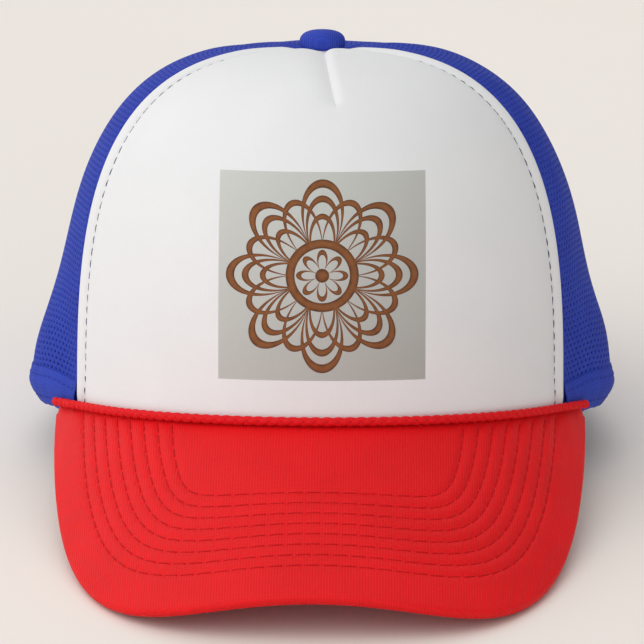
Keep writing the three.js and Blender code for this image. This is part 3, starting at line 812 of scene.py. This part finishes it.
def mesh_panel(name, start, end, seed, fullness=0.0):
    """A panel of hexagonal mesh between two seams; fullness swells it outwards."""
    cells, corners = hex_cells(95, TOP_LENGTH)
    bottom = float(length_at(climb_of_height(MESH_FOOT)))
    holes_from = length_at(climb_of_height(HEM_BINDING_HEIGHT)) - 2

    def half_width(length):
        climb = climb_along(np.clip(length, 0, TOP_LENGTH))
        return (end - start) / 2 / arc_degrees(1, climb) - GAP / 2

    x, y = cells.T
    cells = cells[(np.abs(x) < half_width(y) + 0.6) & (y > bottom - 1) & (y < TOP_LENGTH + 0.5)]
    ring = cells[:, None] + corners
    unique, index = np.unique(np.round(ring.reshape(-1, 2), 3), axis=0, return_inverse=True)
    index = index.reshape(-1, 6)
    x, y = cells.T
    holed = (half_width(y) - np.abs(x) > MESH_RIM) & (y > holes_from) & (y < TOP_LENGTH - 3)
    holes = cells[holed][:, None] + corners * MESH_HOLE
    y = np.clip(unique[:, 1], bottom, TOP_LENGTH)
    x = np.clip(unique[:, 0], -half_width(y), half_width(y))
    x, y = np.concatenate([stack(x, y), holes.reshape(-1, 2)]).T
    inner = len(unique) + numbered(len(holes), 6)
    frames = ring_faces(np.stack([index[holed], inner], 1))
    faces = frames.tolist() + index[~holed].tolist()
    climb = climb_along(y)
    azimuth = (start + end) / 2 + x * arc_degrees(1, climb)
    edge = half_width(y) - np.abs(x)
    free = smoothstep(y, bottom + 12, bottom + 30) * smoothstep(edge, 0, 12)
    free *= smoothstep(TOP_LENGTH - y, 0, 20)
    rise = (mesh_relief(azimuth, y, seed) + fullness) * free
    rise -= 0.5 * (1 - smoothstep(edge, 0, 1.6))
    points = crown_point(azimuth, climb, -rise)
    if abs(start) >= SIDE_SEAM and abs(end) >= SIDE_SEAM:
        clear = outside_opening(points[:, [0, 2]])
        faces = [f for f in faces if min(clear[i] for i in f) > 0.6]
    piece = make_piece(name + "_net", to_world(points), faces, [BLUE_MESH],
                       stack(x, y), merge=1e-6)
    finish_net(piece)
    place(piece, "blue_mesh", name)


def finish_net(piece):
    """Clears what the merging left, faces the net outwards and gives it its thickness."""
    work = bmesh.new()
    work.from_mesh(piece.data)
    bmesh.ops.dissolve_degenerate(work, edges=work.edges, dist=1e-6)
    loose = [v for v in work.verts if not v.link_faces]
    bmesh.ops.delete(work, geom=loose, context="VERTS")
    work.to_mesh(piece.data)
    work.free()
    outward = np.array([p.normal for p in piece.data.polygons]).mean(0)
    centre = np.array([v.co for v in piece.data.vertices]).mean(0)
    if outward @ (centre - to_world([0, 0, CROWN_HEIGHT / 2])) < 0:
        piece.data.flip_normals()
    thick = piece.modifiers.new("thickness", "SOLIDIFY")
    thick.thickness = MESH_THICKNESS * MM
    thick.offset = -1
    thick.use_quality_normals = True


# ---- Bindings ----

HEM_ROWS = (2.6, 9.4)  # stitch rows, from the edge
OPENING_ROWS = (1.8, 6.4)
FOLD_START = 0.6  # where the strip begins to turn round the edge


def binding_path(width):
    """(distance from the edge, depth) round a folded strip, from its outer side."""
    near, far = -BINDING_OUT, BINDING_IN
    down = np.linspace(width, FOLD_START, 12)
    angle = np.linspace(0, np.pi, 10)[1:-1]
    fold = stack(FOLD_START - (FOLD_START + BINDING_FOLD) * np.sin(angle),
                 (near + far) / 2 - (far - near) / 2 * np.cos(angle))
    return np.concatenate([stack(down, near), fold, stack(down[::-1], far)])


def binding(name, stations, width, per_station, place_at, sewn_stations, rows):
    """A folded strip with stitch rows; place_at(station, distance) gives azimuth and climb."""
    path = binding_path(width)
    inwards = path[:, 0]
    normal = turned(unit(np.gradient(path, axis=0)))
    ease = bell(inwards, width / 2, width * 0.42) * 0.22
    ease = ease - 0.75 * smoothstep(inwards, width * 0.55, width)
    wobble = 0.07 * np.sin(stations * 1.9) + 0.05 * np.sin(stations * 4.3 + 1)
    swell = ease * np.where(path[:, 1] < 0, 1, 0.4) + wobble[:, None]
    for row in rows:
        swell = swell - 0.2 * bell(inwards, row, 0.55)

    def grid(shape):
        return crown_point(*place_at(stations[:, None], shape[..., 0]), shape[..., 1])

    outer = path + normal * swell[..., None]
    lines = [crown_row(*place_at(sewn_stations, row), -BINDING_OUT) for row in rows]
    sewn_layer(name, grid(outer), grid(outer - normal * BINDING_SKIN),
               (distances(path), stations[:, None] * per_station), lines, BINDING_STITCH)


def hem_binding(name, start, end):
    binding(name, np.linspace(start, end, 130), HEM_BINDING_HEIGHT, 1.65,
            lambda azimuth, height: (azimuth, climb_of_height(height)),
            np.linspace(start + 1, end - 0.6, 160), HEM_ROWS)


def opening_binding():
    def place_at(t, out):
        edge = opening_edge(t, out)
        rise = edge[..., 1] / CROWN_HEIGHT
        return rear_azimuth(edge[..., 0], rise), climb_at(rise)
    share = np.linspace(-1, 1, 181)
    stations = np.sign(share) * (1 - (1 - np.abs(share)) ** 1.35)
    binding("rear_opening_binding", stations, OPENING_BINDING_WIDTH, 75, place_at,
            np.linspace(-0.86, 0.86, 200), OPENING_ROWS)


# ---- Inside the crown ----

TAPE_DEPTH = (2.4, 3.1)
TAPE_HALF_WIDTH = 5
TAPE_ROWS = (-3.6, 3.6)
TAPE_FOOT = 1.5
TAPE_TOP = 0.88
SWEATBAND_DEPTH = (4.2, 5.4)
SWEATBAND_HEIGHT = 31
SWEATBAND_END = 143
SWEATBAND_ROWS = (4.4, SWEATBAND_HEIGHT - 3)


def seam_tape(name, azimuth, from_height):
    """A ribbon over the inside of a seam, with a stitch row near each edge."""
    start = climb_above(azimuth, from_height)
    climb = np.linspace(0, 1, 90) ** 1.3 * (TAPE_TOP - start) + start
    up = climb[:, None]
    across = np.linspace(-TAPE_HALF_WIDTH, TAPE_HALF_WIDTH, 21)
    crowned = 0.22 * (1 - (across / TAPE_HALF_WIDTH) ** 2)
    sewn = 0.16 * sum(bell(across, row, 0.5) for row in TAPE_ROWS)
    face = TAPE_DEPTH[1] + crowned - sewn - 0.3 * bell(np.abs(across), TAPE_HALF_WIDTH, 0.5)
    outer, inner = (crown_point(azimuth + arc_degrees(1, up) * across, up, depth)
                    for depth in (TAPE_DEPTH[0], face))
    lines = [crown_row(azimuth + arc_degrees(row, climb), climb, TAPE_DEPTH[1], 1)
             for row in TAPE_ROWS]
    sewn_layer(name, outer, inner, (across, length_at(up)), lines, TAPE_STITCH)


def sweatband():
    """A soft folded band inside the lower edge, rolled at the bottom and bound at the top."""
    azimuth = np.linspace(-SWEATBAND_END, SWEATBAND_END, 240)
    around = azimuth[:, None]
    height = np.concatenate([np.linspace(1, 4, 8)[:-1], np.linspace(4, SWEATBAND_HEIGHT, 30)])
    climb = climb_above(around, height)
    waves = 0.18 * np.sin(around * 0.21) + 0.12 * np.sin(around * 0.53 + 1.3)
    waves = waves * smoothstep(height, 4, SWEATBAND_HEIGHT)
    rolled = 0.5 * bell(height, 2.2, 1.3) - 0.4 * bell(height, SWEATBAND_ROWS[0], 0.6)
    hem = 0.35 * bell(height, SWEATBAND_HEIGHT - 1.2, 1.1) - 0.3 * bell(
        height, SWEATBAND_ROWS[1], 0.5)
    outer, inner = (crown_point(around, climb, depth) for depth in (
        SWEATBAND_DEPTH[0], SWEATBAND_DEPTH[1] + rolled + hem + waves))
    lines = [crown_row(azimuth, climb_above(azimuth, row), SWEATBAND_DEPTH[1], 1)
             for row in SWEATBAND_ROWS]
    sewn_layer("sweatband", outer, inner, (around * 1.6, height), lines, SWEATBAND_STITCH)


# ---- Button ----

BUTTON_RADIUS = 7.4
BUTTON_HEIGHT = 6.4
BUTTON_SKIN = 0.6
BUTTON_POWER = 2.5
BUTTON_WIDEST = 2.3
BUTTON_BASE = -1.2
BUTTON_SIDES = 96


def dome(radius, top, count):
    """(radius, height) from the button's widest place to its axis at a height."""
    t = np.linspace(0, 1, count)
    power = 2 / BUTTON_POWER
    return stack(radius * np.cos(t * np.pi / 2).clip(1e-9) ** power,
                 BUTTON_WIDEST + (top - BUTTON_WIDEST) * np.sin(t * np.pi / 2) ** power)


def button():
    """The covered button: a thin domed shell of cloth, gathered under its rim."""
    under = dome(BUTTON_RADIUS, BUTTON_BASE, 40)[:0:-1]
    rings = np.concatenate([
        under[under[:, 0] > 0.7 * BUTTON_RADIUS], dome(BUTTON_RADIUS, BUTTON_HEIGHT, 30),
        dome(BUTTON_RADIUS - BUTTON_SKIN, BUTTON_HEIGHT - BUTTON_SKIN, 18)[::-1]])
    radius, height = rings[:, :1], rings[:, 1:]
    angle = circle(BUTTON_SIDES)
    pull = (0.12 * np.cos(angle * 17) + 0.06 * np.cos(angle * 29 + 1)) * bell(height, 0.4, 1.1)
    radius = radius * (1 + 0.02 * pull) + 0.5 * pull * (radius > 1)
    x, y = radius * np.cos(angle), radius * np.sin(angle)
    points = stack(x, y - APEX_FORWARD, height + CROWN_HEIGHT - BUTTON_DIP).reshape(-1, 3)
    index = numbered(len(rings), BUTTON_SIDES)
    faces = ring_faces(np.concatenate([index, index[:1]]))
    cover = make_piece("button_cloth", to_world(points), faces, [BLUE_CLOTH],
                       stack(x, y).reshape(-1, 2), merge=1e-6)
    place(cover, "blue_cloth", "button_cover")
    dress("button_shell", STEEL)
    dress("button_back", STEEL)


# ---- Visor ----

def visor_face(flat):
    """Top face of the bent visor at places (across, forward) of its flat drawing."""
    u, w = flat[..., 0], flat[..., 1]
    turn = u / VISOR_RADIUS
    drop = VISOR_RADIUS * (1 - np.cos(turn))
    behind = np.maximum(-w, 0)
    sine, cosine = math.sin(VISOR_SLOPE), math.cos(VISOR_SLOPE)
    return stack(
        VISOR_RADIUS * np.sin(turn),
        -HALF_DEPTH - w * cosine + drop * sine,
        VISOR_TOP - w * sine - drop * cosine - VISOR_SAG * behind ** 2)


def visor_normal(flat):
    half = 0.5
    across = visor_face(flat + [half, 0]) - visor_face(flat - [half, 0])
    forward = visor_face(flat + [0, half]) - visor_face(flat - [0, half])
    return unit(np.cross(forward, across))


def level_normal(azimuth):
    """Level direction out of the crown along its lower edge."""
    return unit(crown_normal(azimuth, climb_above(azimuth, HEM_TUCK)) * [1, 1, 0])


def visor_seam(azimuth):
    """Flat place of the seam at an azimuth, a little outside the crown."""
    climb = climb_above(azimuth, HEM_TUCK)
    clear = GAP + (BINDING_OUT + 0.1) * smoothstep(np.abs(azimuth), FRONT_SEAM - 6, FRONT_SEAM)
    point = crown_face(azimuth, climb) + level_normal(azimuth) * np.asarray(clear)[..., None]
    turn = np.arcsin(point[..., 0] / VISOR_RADIUS)
    drop = VISOR_RADIUS * (1 - np.cos(turn))
    w = (drop * math.sin(VISOR_SLOPE) - HALF_DEPTH - point[..., 1]) / math.cos(VISOR_SLOPE)
    return stack(VISOR_RADIUS * turn, w)


def seam_correction(azimuth, flat):
    """How far the visor's rear edge is lifted onto the hem line."""
    return hem_line(azimuth) + VISOR_SEAM_LIFT - visor_face(flat)[..., 2]


_OUTLINE_LENGTH = VISOR_LENGTH + VISOR_BACK
_CORNER_W = visor_seam(np.array(VISOR_CORNER))[1] + VISOR_CORNER_WIDTH
_OUTLINE_END = math.acos(
    ((VISOR_BACK + _CORNER_W) / _OUTLINE_LENGTH) ** (VISOR_FRONT_POWER / 2))


def visor_outline(t, inset):
    """The visor's outline in the flat, for t from -1 to 1, moved in by a distance."""
    def at(s):
        angle = _OUTLINE_END * np.abs(s) ** 1.8
        u = VISOR_HALF_WIDTH * np.sin(angle) ** (2 / VISOR_SIDE_POWER)
        w = _OUTLINE_LENGTH * np.cos(angle) ** (2 / VISOR_FRONT_POWER) - VISOR_BACK
        return stack(np.sign(s) * u, w)
    tangent = unit(at(t + 0.01) - at(t - 0.01))
    return at(t) - turned(tangent) * np.asarray(inset)[..., None]


EDGE_RADIUS = VISOR_THICKNESS / 2
RIM_STEPS = 8
ROW_COUNT = 8
ROW_FIRST = 14.41
ROW_PITCH = 4.504
ROW_START = 1.6  # how far in front of the seam the rows start
ROW_CORNER = 5.5  # how widely the rows' corners are rounded
ROW_SPREAD = (2.5, 5.5)  # how far the corners of the first and last row are pushed outwards
ROW_BOW = 4.0  # how far back the last row's corners lie
ROUNDING_STEP = 0.5
ROUNDING_REACH = 60  # in steps
# Depth and half width of what the stitches pull in, and its greatest depth
SEWN_CHANNEL = (0.3, 0.5)
SEWN_VALLEY = (0.28, 1.6)
SEWN_HOLE = (0.4, 0.85)
SEWN_DEPTH = 0.58
VISOR_STATIONS = 420
VISOR_COLUMNS = 150
VISOR_RIM = visor_outline(np.linspace(-1, 1, 801), 0)


def rounded(path):
    """An open path with its corners rounded off, and its ends kept."""
    even = at_index(path, walk(path, ROUNDING_STEP))
    steps = np.arange(-ROUNDING_REACH, ROUNDING_REACH + 1)
    weight = bell(steps * ROUNDING_STEP, 0, ROW_CORNER)
    weight /= weight.sum()
    before = 2 * even[:1] - even[ROUNDING_REACH:0:-1]
    after = 2 * even[-1:] - even[-2:-ROUNDING_REACH - 2:-1]
    padded = np.concatenate([before, even, after])
    return stack(*(np.convolve(column, weight, "valid") for column in padded.T))


def sewn_rows():
    """The rows of stitching in the flat: paths, and the places of their needle holes."""
    t = np.linspace(-1, 1, 900)
    seam = visor_seam(np.linspace(-VISOR_CORNER, VISOR_CORNER, 400))
    rows = []
    for row in range(ROW_COUNT):
        inset = ROW_FIRST + row * ROW_PITCH
        path = visor_outline(t, inset)
        path = rounded(path[outline_distance(path, VISOR_RIM) > inset - 0.25])
        path = path[path[:, 1] > np.interp(path[:, 0], *seam.T) + ROW_START]
        inward = row / (ROW_COUNT - 1)
        across = path[:, 0] / np.abs(path[:, 0]).max()
        forward = (path[:, 1] - path[:, 1].min()) / np.ptp(path[:, 1])
        corner = np.sign(across) * smoothstep(np.abs(across), 0.5, 0.85) * forward
        path[:, 0] += corner * lerp(*ROW_SPREAD, inward)
        path[:, 1] -= ROW_BOW * inward * forward * across ** 2
        rows.append((path, at_index(path, walk(path, VISOR_STITCH[0]))))
    return rows


SEWN_ROWS = sewn_rows()


def nearest(places, marks):
    """Distance from each flat place to the nearest of the marks."""
    tree = kdtree.KDTree(len(marks))
    for i, (x, y) in enumerate(marks):
        tree.insert((x, y, 0), i)
    tree.balance()
    return np.array([tree.find((x, y, 0))[2] for x, y in places])


def quilting(flat):
    """Relief of the sewn rows: narrow channels, deeper at each needle hole, puffs between."""
    places = flat.reshape(-1, 2)
    away = nearest(places, np.concatenate([
        at_index(path, walk(path, 0.4)) for path, _ in SEWN_ROWS]))
    hole = nearest(places, np.concatenate([holes for _, holes in SEWN_ROWS]))
    parts = ((away, SEWN_CHANNEL), (away, SEWN_VALLEY), (hole, SEWN_HOLE))
    relief = -sum(depth * bell(distance, 0, width) for distance, (depth, width) in parts)
    seam = visor_seam(np.linspace(-VISOR_CORNER, VISOR_CORNER, 600))
    relief = np.maximum(relief, -SEWN_DEPTH) * smoothstep(nearest(places, seam), 0.4, 3.5)
    return relief.reshape(flat.shape[:-1])


def visor_cover(name, under):
    """One face of the visor, from the seam to half way round the rim."""
    t = np.linspace(-1, 1, VISOR_STATIONS)
    columns = np.concatenate([np.linspace(0, 1, VISOR_COLUMNS), np.ones(RIM_STEPS)])
    turn = np.concatenate([
        np.zeros(VISOR_COLUMNS - 1), np.linspace(0, np.pi / 2, RIM_STEPS + 1)])
    seam = visor_seam(VISOR_CORNER * t)
    lift = seam_correction(VISOR_CORNER * t, seam)

    def layer(radius, face_depth, relief):
        rim = visor_outline(t[:, None], EDGE_RADIUS - radius * np.sin(turn))
        flat = lerp(seam[:, None], rim, columns[:, None])
        depth = np.where(turn > 0, EDGE_RADIUS - radius * np.cos(turn), face_depth)
        depth = depth - relief * np.cos(turn)
        if under:
            depth = VISOR_THICKNESS - depth
        face = visor_face(flat) + UP * (lift[:, None] * (1 - columns) ** 2)[..., None]
        normal = visor_normal(flat)
        upright = UP / normal[..., 2:]
        along = lerp(normal, upright, ((1 - columns) ** 3)[:, None])
        return face - along * depth[..., None], flat

    _, flat = layer(EDGE_RADIUS, 0.0, 0.0)
    outer, _ = layer(EDGE_RADIUS, 0.0, quilting(flat))
    inner, _ = layer(EDGE_RADIUS - VISOR_SKIN, VISOR_SKIN, 0.0)
    return layer_piece(name + "_cloth", outer, inner, [RED_CLOTH], "red_cloth", name,
                       (flat[..., 0], flat[..., 1]))


def visor_stitches(name, cover, under):
    """Rows of thread that follow the outline and end at the seam."""
    rows = []
    for path, _ in SEWN_ROWS:
        normal = visor_normal(path)
        points = visor_face(path) - normal * (VISOR_THICKNESS if under else 0)
        rows.append((to_world(points), tipped(normal if under else -normal)))
    stitches(name, rows, cover, VISOR_STITCH, RED_THREAD, "red_cloth")


def braid_centre(azimuth):
    flat = visor_seam(azimuth)
    lift = seam_correction(azimuth, flat)[..., None]
    outward = level_normal(azimuth)
    return visor_face(flat) + UP * lift + outward * BRAID_RADIUS + UP * (BRAID_RADIUS - 0.1)


BRAID_TUCK = 1.2  # how far each end is tucked under, in degrees of azimuth
BRAID_STEP = 0.35
STRAND_TURN = 7.0  # length in which a strand goes once round the braid
STRAND_ORBIT = 0.74
STRAND_WEAVE = 0.22
STRAND_SIZE = (1.0, 0.5)  # half width and half thickness of a strand
STRAND_SIDES = 10
STRAND_CORE = 0.95


def braid():
    """A round braid of four strands, two turning each way, over and under, and its core."""
    reach = BRAID_END - BRAID_TUCK
    azimuth = np.linspace(-reach, reach, 3000)
    length = distances(braid_centre(azimuth))
    along = np.linspace(0, length[-1], int(length[-1] / BRAID_STEP))
    path = braid_centre(np.interp(along, length, azimuth))
    tangent = unit(np.gradient(path, axis=0))
    side = unit(np.cross(tangent, UP))
    up = np.cross(side, tangent)
    ends = smoothstep(np.minimum(along, length[-1] - along), -0.4, 1.6)
    width, thickness = ((size * (0.25 + 0.75 * ends))[:, None, None] for size in STRAND_SIZE)
    ring = circle(STRAND_SIDES)[:, None]
    turn = 2 * np.pi * along / STRAND_TURN
    strands = []
    for sense in (1, -1):
        orbit = (STRAND_ORBIT + sense * STRAND_WEAVE * np.cos(2 * turn)) * ends
        for start in (0, np.pi):
            angle = (sense * turn + start)[:, None]
            radial = side * np.cos(angle) + up * np.sin(angle)
            centre = path + radial * orbit[:, None]
            wide = unit(np.cross(unit(np.gradient(centre, axis=0)), radial))
            strands.append(centre[:, None] + wide[:, None] * (np.cos(ring) * width)
                           + radial[:, None] * (np.sin(ring) * thickness))
    index = numbered(len(strands), len(path), STRAND_SIDES)
    core, core_faces = tubes([path[2:-2]], STRAND_CORE)
    points = np.concatenate([np.reshape(strands, (-1, 3)), core])
    faces = tube_faces(index) + [[i + index.size for i in face] for face in core_faces]
    piece = make_piece("woven_braid", to_world(points), faces, [RED_BRAID])
    place(piece, "red_braid", "visor_braid")


# ---- Size closure ----

ARC_CENTRE_Y = HINGE[1] - math.sqrt(STRAP_RADIUS ** 2 - HINGE[0] ** 2)
STRAP_HALF_THICKNESS = 0.6
STRAP_MIDDLE_OUT = 0.75  # how far the straps lie outside and inside the closure's arc
STRAP_ROUNDING = 0.25
STRAP_BEND = 1.8  # STRAP_BEND = 1.8 # half a length centred on the hinge
STRAP_EASE = np.array([-2.6, 2.2])  # past the hinge, where their arc eases into the crown's
ON_EDGE = STRAP_HALF_HEIGHT - 0.01
WALL_HEIGHTS = np.array([-8, -7.6, -6, -4, -2, 0, 2, 4, 6, 7.6, 8.0])
HOLE_RADIUS = 2.6
# Rings (radius, lift) about each stud, from the strap's face inwards
HOLE_RIM = [(3.9, 0.0), (3.6, 0.26), (3.1, 0.3), (2.75, 0.14), (HOLE_RADIUS, -0.16)]
HOLE_BACK = [(3.9, 0.0), (3.6, 0.0), (3.1, 0.0), (2.75, -0.03), (HOLE_RADIUS, -0.2)]
PEG = [(3.1, 0.0), (2.4, 0.1), (2.1, 0.45), (1.95, 1.1), (2.02, 1.6), (1.9, 2.05), (1.4, 2.4),
       (0.7, 2.52)]
PEG_BACK = [(3.1, 0.0), (2.4, -0.05), (1.2, -0.12)]


def strap_point(side, base, along, height, out):
    """Place in rest attitude on a strap: along grows from its sewn-in end to its free end."""
    angle = np.arcsin(np.maximum(along, -HINGE[0] - 3) / STRAP_RADIUS)
    reach = STRAP_RADIUS + out
    free = stack(-side * reach * np.sin(angle), ARC_CENTRE_Y + reach * np.cos(angle),
                 HINGE[2] + height)
    rise = (HINGE_HEIGHT + height) / CROWN_HEIGHT
    azimuth = side * rear_azimuth(np.maximum(-along, HINGE_X - 3), rise)
    depth = TAB_MIDDLE_DEPTH - (out - base)
    sewn = tipped(crown_point(azimuth, climb_at(rise), depth)) + SHIFT
    share = smoothstep(-along, *(HINGE[0] + STRAP_EASE))[..., None]
    return lerp(free, sewn, share) * MM


def cell_loop(centre, last):
    """The outline of one stud's stretch of strap, about its centre, anticlockwise."""
    half = PEG_PITCH / 2
    left = stack(-half, WALL_HEIGHTS[::-1])
    if last:
        turn = np.linspace(-np.pi / 2, np.pi / 2, 23)
        bend = STRAP_FREE_X - STRAP_HALF_HEIGHT - centre
        right = STRAP_HALF_HEIGHT * stack(np.cos(turn), np.sin(turn)) + [bend, 0]
        top = np.array([[(bend - half) / 2, STRAP_HALF_HEIGHT]])
        return np.concatenate([right, top, left, top * [1, -1]])
    top = stack(np.linspace(half, -half, 7)[:-1], STRAP_HALF_HEIGHT)
    return np.concatenate([-left[:-1], top, left[:-1], -top])


def stud_cell(centre, rings, closed, last):
    """Places (along, height, lift) and faces of one stretch of strap with a round feature."""
    loop = cell_loop(centre, last)
    outside = (np.abs(loop[:, 1]) > ON_EDGE) | (loop[:, 0] > PEG_PITCH / 2 + 0.01)
    toward = unit(-loop)
    inset = loop + toward * 0.4
    middle = inset * 0.4 - toward * rings[0][0] * 0.6
    loops = [(loop, -STRAP_ROUNDING * outside), (inset, 0), (middle, 0)]
    loops += [(-toward * radius, lift) for radius, lift in rings]
    points = np.concatenate([stack(*flat.T, lift) for flat, lift in loops])
    index = numbered(len(loops), len(loop))
    faces = ring_faces(index).tolist()
    if closed:
        faces.append(index[-1].tolist())
    return points + [centre, 0, 0], faces


def strap_face(rings, closed):
    """One face of a strap in the flat, its points merged."""
    centres = PEG_FIRST_X - PEG_PITCH * np.arange(PEG_COUNT)
    tab_end = -HINGE[0] - 4
    along = np.concatenate([
        np.linspace(-TAB_OUTER_X, tab_end, 9)[:-1],
        np.linspace(tab_end, centres[-1] - PEG_PITCH / 2, 26)])
    lift = np.where(np.abs(WALL_HEIGHTS) > ON_EDGE, -STRAP_ROUNDING, 0)
    grid = stack(along[:, None], WALL_HEIGHTS, lift)
    points, faces = grid.reshape(-1, 3), grid_faces(numbered(*grid.shape[:2])).tolist()
    for centre in centres:
        cell_points, cell_faces = stud_cell(centre, rings, closed, centre == PEG_FIRST_X)
        faces += [[i + len(points) for i in face] for face in cell_faces]
        points = np.concatenate([points, cell_points])
    unique, index = np.unique(np.round(points, 4), axis=0, return_inverse=True)
    index = index.ravel().tolist()
    return unique, [[index[i] for i in face] for face in faces]


def border_edges(faces):
    """Directed edges that only one face uses."""
    edges = [(a, b) for face in faces for a, b in zip(face, face[1:] + face[:1])]
    known = set(edges)
    return [(a, b) for a, b in edges if (b, a) not in known]


def strap(name, side, base, front_rings, back_rings, closed):
    """A moulded strap in one piece with its sewn-in tab; near its hinge its arc eases into the
    crown's.
    """
    front, front_faces = strap_face(front_rings, closed)
    back, back_faces = strap_face(back_rings, closed)
    start = len(front)
    behind = {tuple(place): start + i for i, place in enumerate(back[:, :2].tolist())}
    partner = [behind.get(tuple(place)) for place in front[:, :2].tolist()]
    faces = front_faces + [[i + start for i in face[::-1]] for face in back_faces]
    faces += [[b, a, partner[a], partner[b]] for a, b in border_edges(front_faces)]
    along, height, _ = np.concatenate([front, back]).T
    out = np.concatenate([
        STRAP_HALF_THICKNESS + front[:, 2], -STRAP_HALF_THICKNESS - back[:, 2]])
    points = strap_point(side, base, along, height, base + out)
    piece = make_piece(name + "_piece", points, faces, [BLUE_PLASTIC])
    start, end = (strap_point(side, base, np.array(-HINGE[0] + shift), np.array(0.0), base)
                  for shift in (-STRAP_BEND, STRAP_BEND))
    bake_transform(piece)
    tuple(start)
    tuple(end)
    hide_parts(name, name + "_tab")


# ---- The cap ----

front_topstitch(front_panel())
for side, sense in (("left", 1), ("right", -1)):
    low, high = sorted((sense * FRONT_SEAM, sense * SIDE_SEAM))
    mesh_panel(f"side_mesh_{side}", low, high, 3 + sense, LEFT_FULLNESS * (sense > 0))
    low, high = sorted((sense * SIDE_SEAM, sense * REAR_SEAM))
    mesh_panel(f"rear_mesh_{side}", low, high, 7 + sense)
    seam_tape(f"front_tape_{side}", sense * FRONT_SEAM, TAPE_FOOT)
    seam_tape(f"side_tape_{side}", sense * SIDE_SEAM, TAPE_FOOT)
seam_tape("rear_tape", REAR_SEAM, OPENING_HEIGHT + OPENING_BINDING_WIDTH + 2)
hem_binding("hem_binding_left", FRONT_SEAM + 0.2, HEM_BINDING_END)
hem_binding("hem_binding_right", -HEM_BINDING_END, -FRONT_SEAM - 0.2)
opening_binding()
sweatband()
button()
top_cover = visor_cover("visor_top_cover", under=False)
under_cover = visor_cover("visor_under_cover", under=True)
visor_stitches("visor_top_stitches", top_cover, under=False)
visor_stitches("visor_under_stitches", under_cover, under=True)
braid()
strap("hole_strap", 1, STRAP_MIDDLE_OUT, HOLE_RIM, HOLE_BACK, False)
strap("peg_strap", -1, -STRAP_MIDDLE_OUT, PEG, PEG_BACK, True)
dress("visor_board", BOARD)


# ---- Stage ----

CAMERA_DISTANCE = 1.3
CAMERA_LENS = 221
CAMERA_AZIMUTH = math.radians(0.85)
CAMERA_ELEVATION = math.radians(18.48)
CAMERA_TARGET = Vector((0, 0.0345, 0.0419))
FLOOR_HALF = 6.0
WORLD_COLOUR = (0.985, 0.99, 0.99, 1)
WORLD_STRENGTH = 0.3


def add_camera():
    data = bpy.data.cameras.new("camera")
    data.lens = CAMERA_LENS
    data.sensor_width = 36
    back = Vector((
        math.sin(CAMERA_AZIMUTH) * math.cos(CAMERA_ELEVATION),
        -math.cos(CAMERA_AZIMUTH) * math.cos(CAMERA_ELEVATION),
        math.sin(CAMERA_ELEVATION),
    ))
    camera = add_object("camera", data)
    camera.location = CAMERA_TARGET + back * CAMERA_DISTANCE
    camera.rotation_euler = (-back).to_track_quat("-Z", "Y").to_euler()
    bpy.context.scene.camera = camera


def add_floor():
    nodes = Nodes("floor", 0.85)
    tones = (linear(239, 232, 224), linear(243, 237, 230))
    nodes.put(nodes.shader.inputs["Base Color"], nodes.mix(nodes.noise(3.0), *tones))
    corners = FLOOR_HALF * np.array([(-1, -1, 0), (1, -1, 0), (1, 1, 0), (-1, 1, 0)])
    make_piece("floor", corners, [(0, 1, 2, 3)], [nodes.material])


def add_sun(name, where, angle, strength):
    """A broad, distant light that shines from a direction towards the cap."""
    data = bpy.data.lights.new(name, "SUN")
    data.angle = math.radians(angle)
    data.energy = strength
    light = add_object(name, data)
    light.location = where
    light.rotation_euler = Vector(where).to_track_quat("Z", "Y").to_euler()


def add_world():
    world = bpy.data.worlds.new("studio")
    bpy.context.scene.world = world
    world.use_nodes = True
    background = world.node_tree.nodes["Background"]
    background.inputs["Color"].default_value = WORLD_COLOUR
    background.inputs["Strength"].default_value = WORLD_STRENGTH


add_camera()
add_floor()
add_world()
add_sun("key", (-0.95, -1.3, 1.15), 90, 1.3)
add_sun("top", (-1.3, 0.75, 1.8), 120, 1.5)
add_sun("fill", (0.95, -0.85, 0.2), 90, 0.48)
bpy.context.scene.view_settings.view_transform = "Standard"
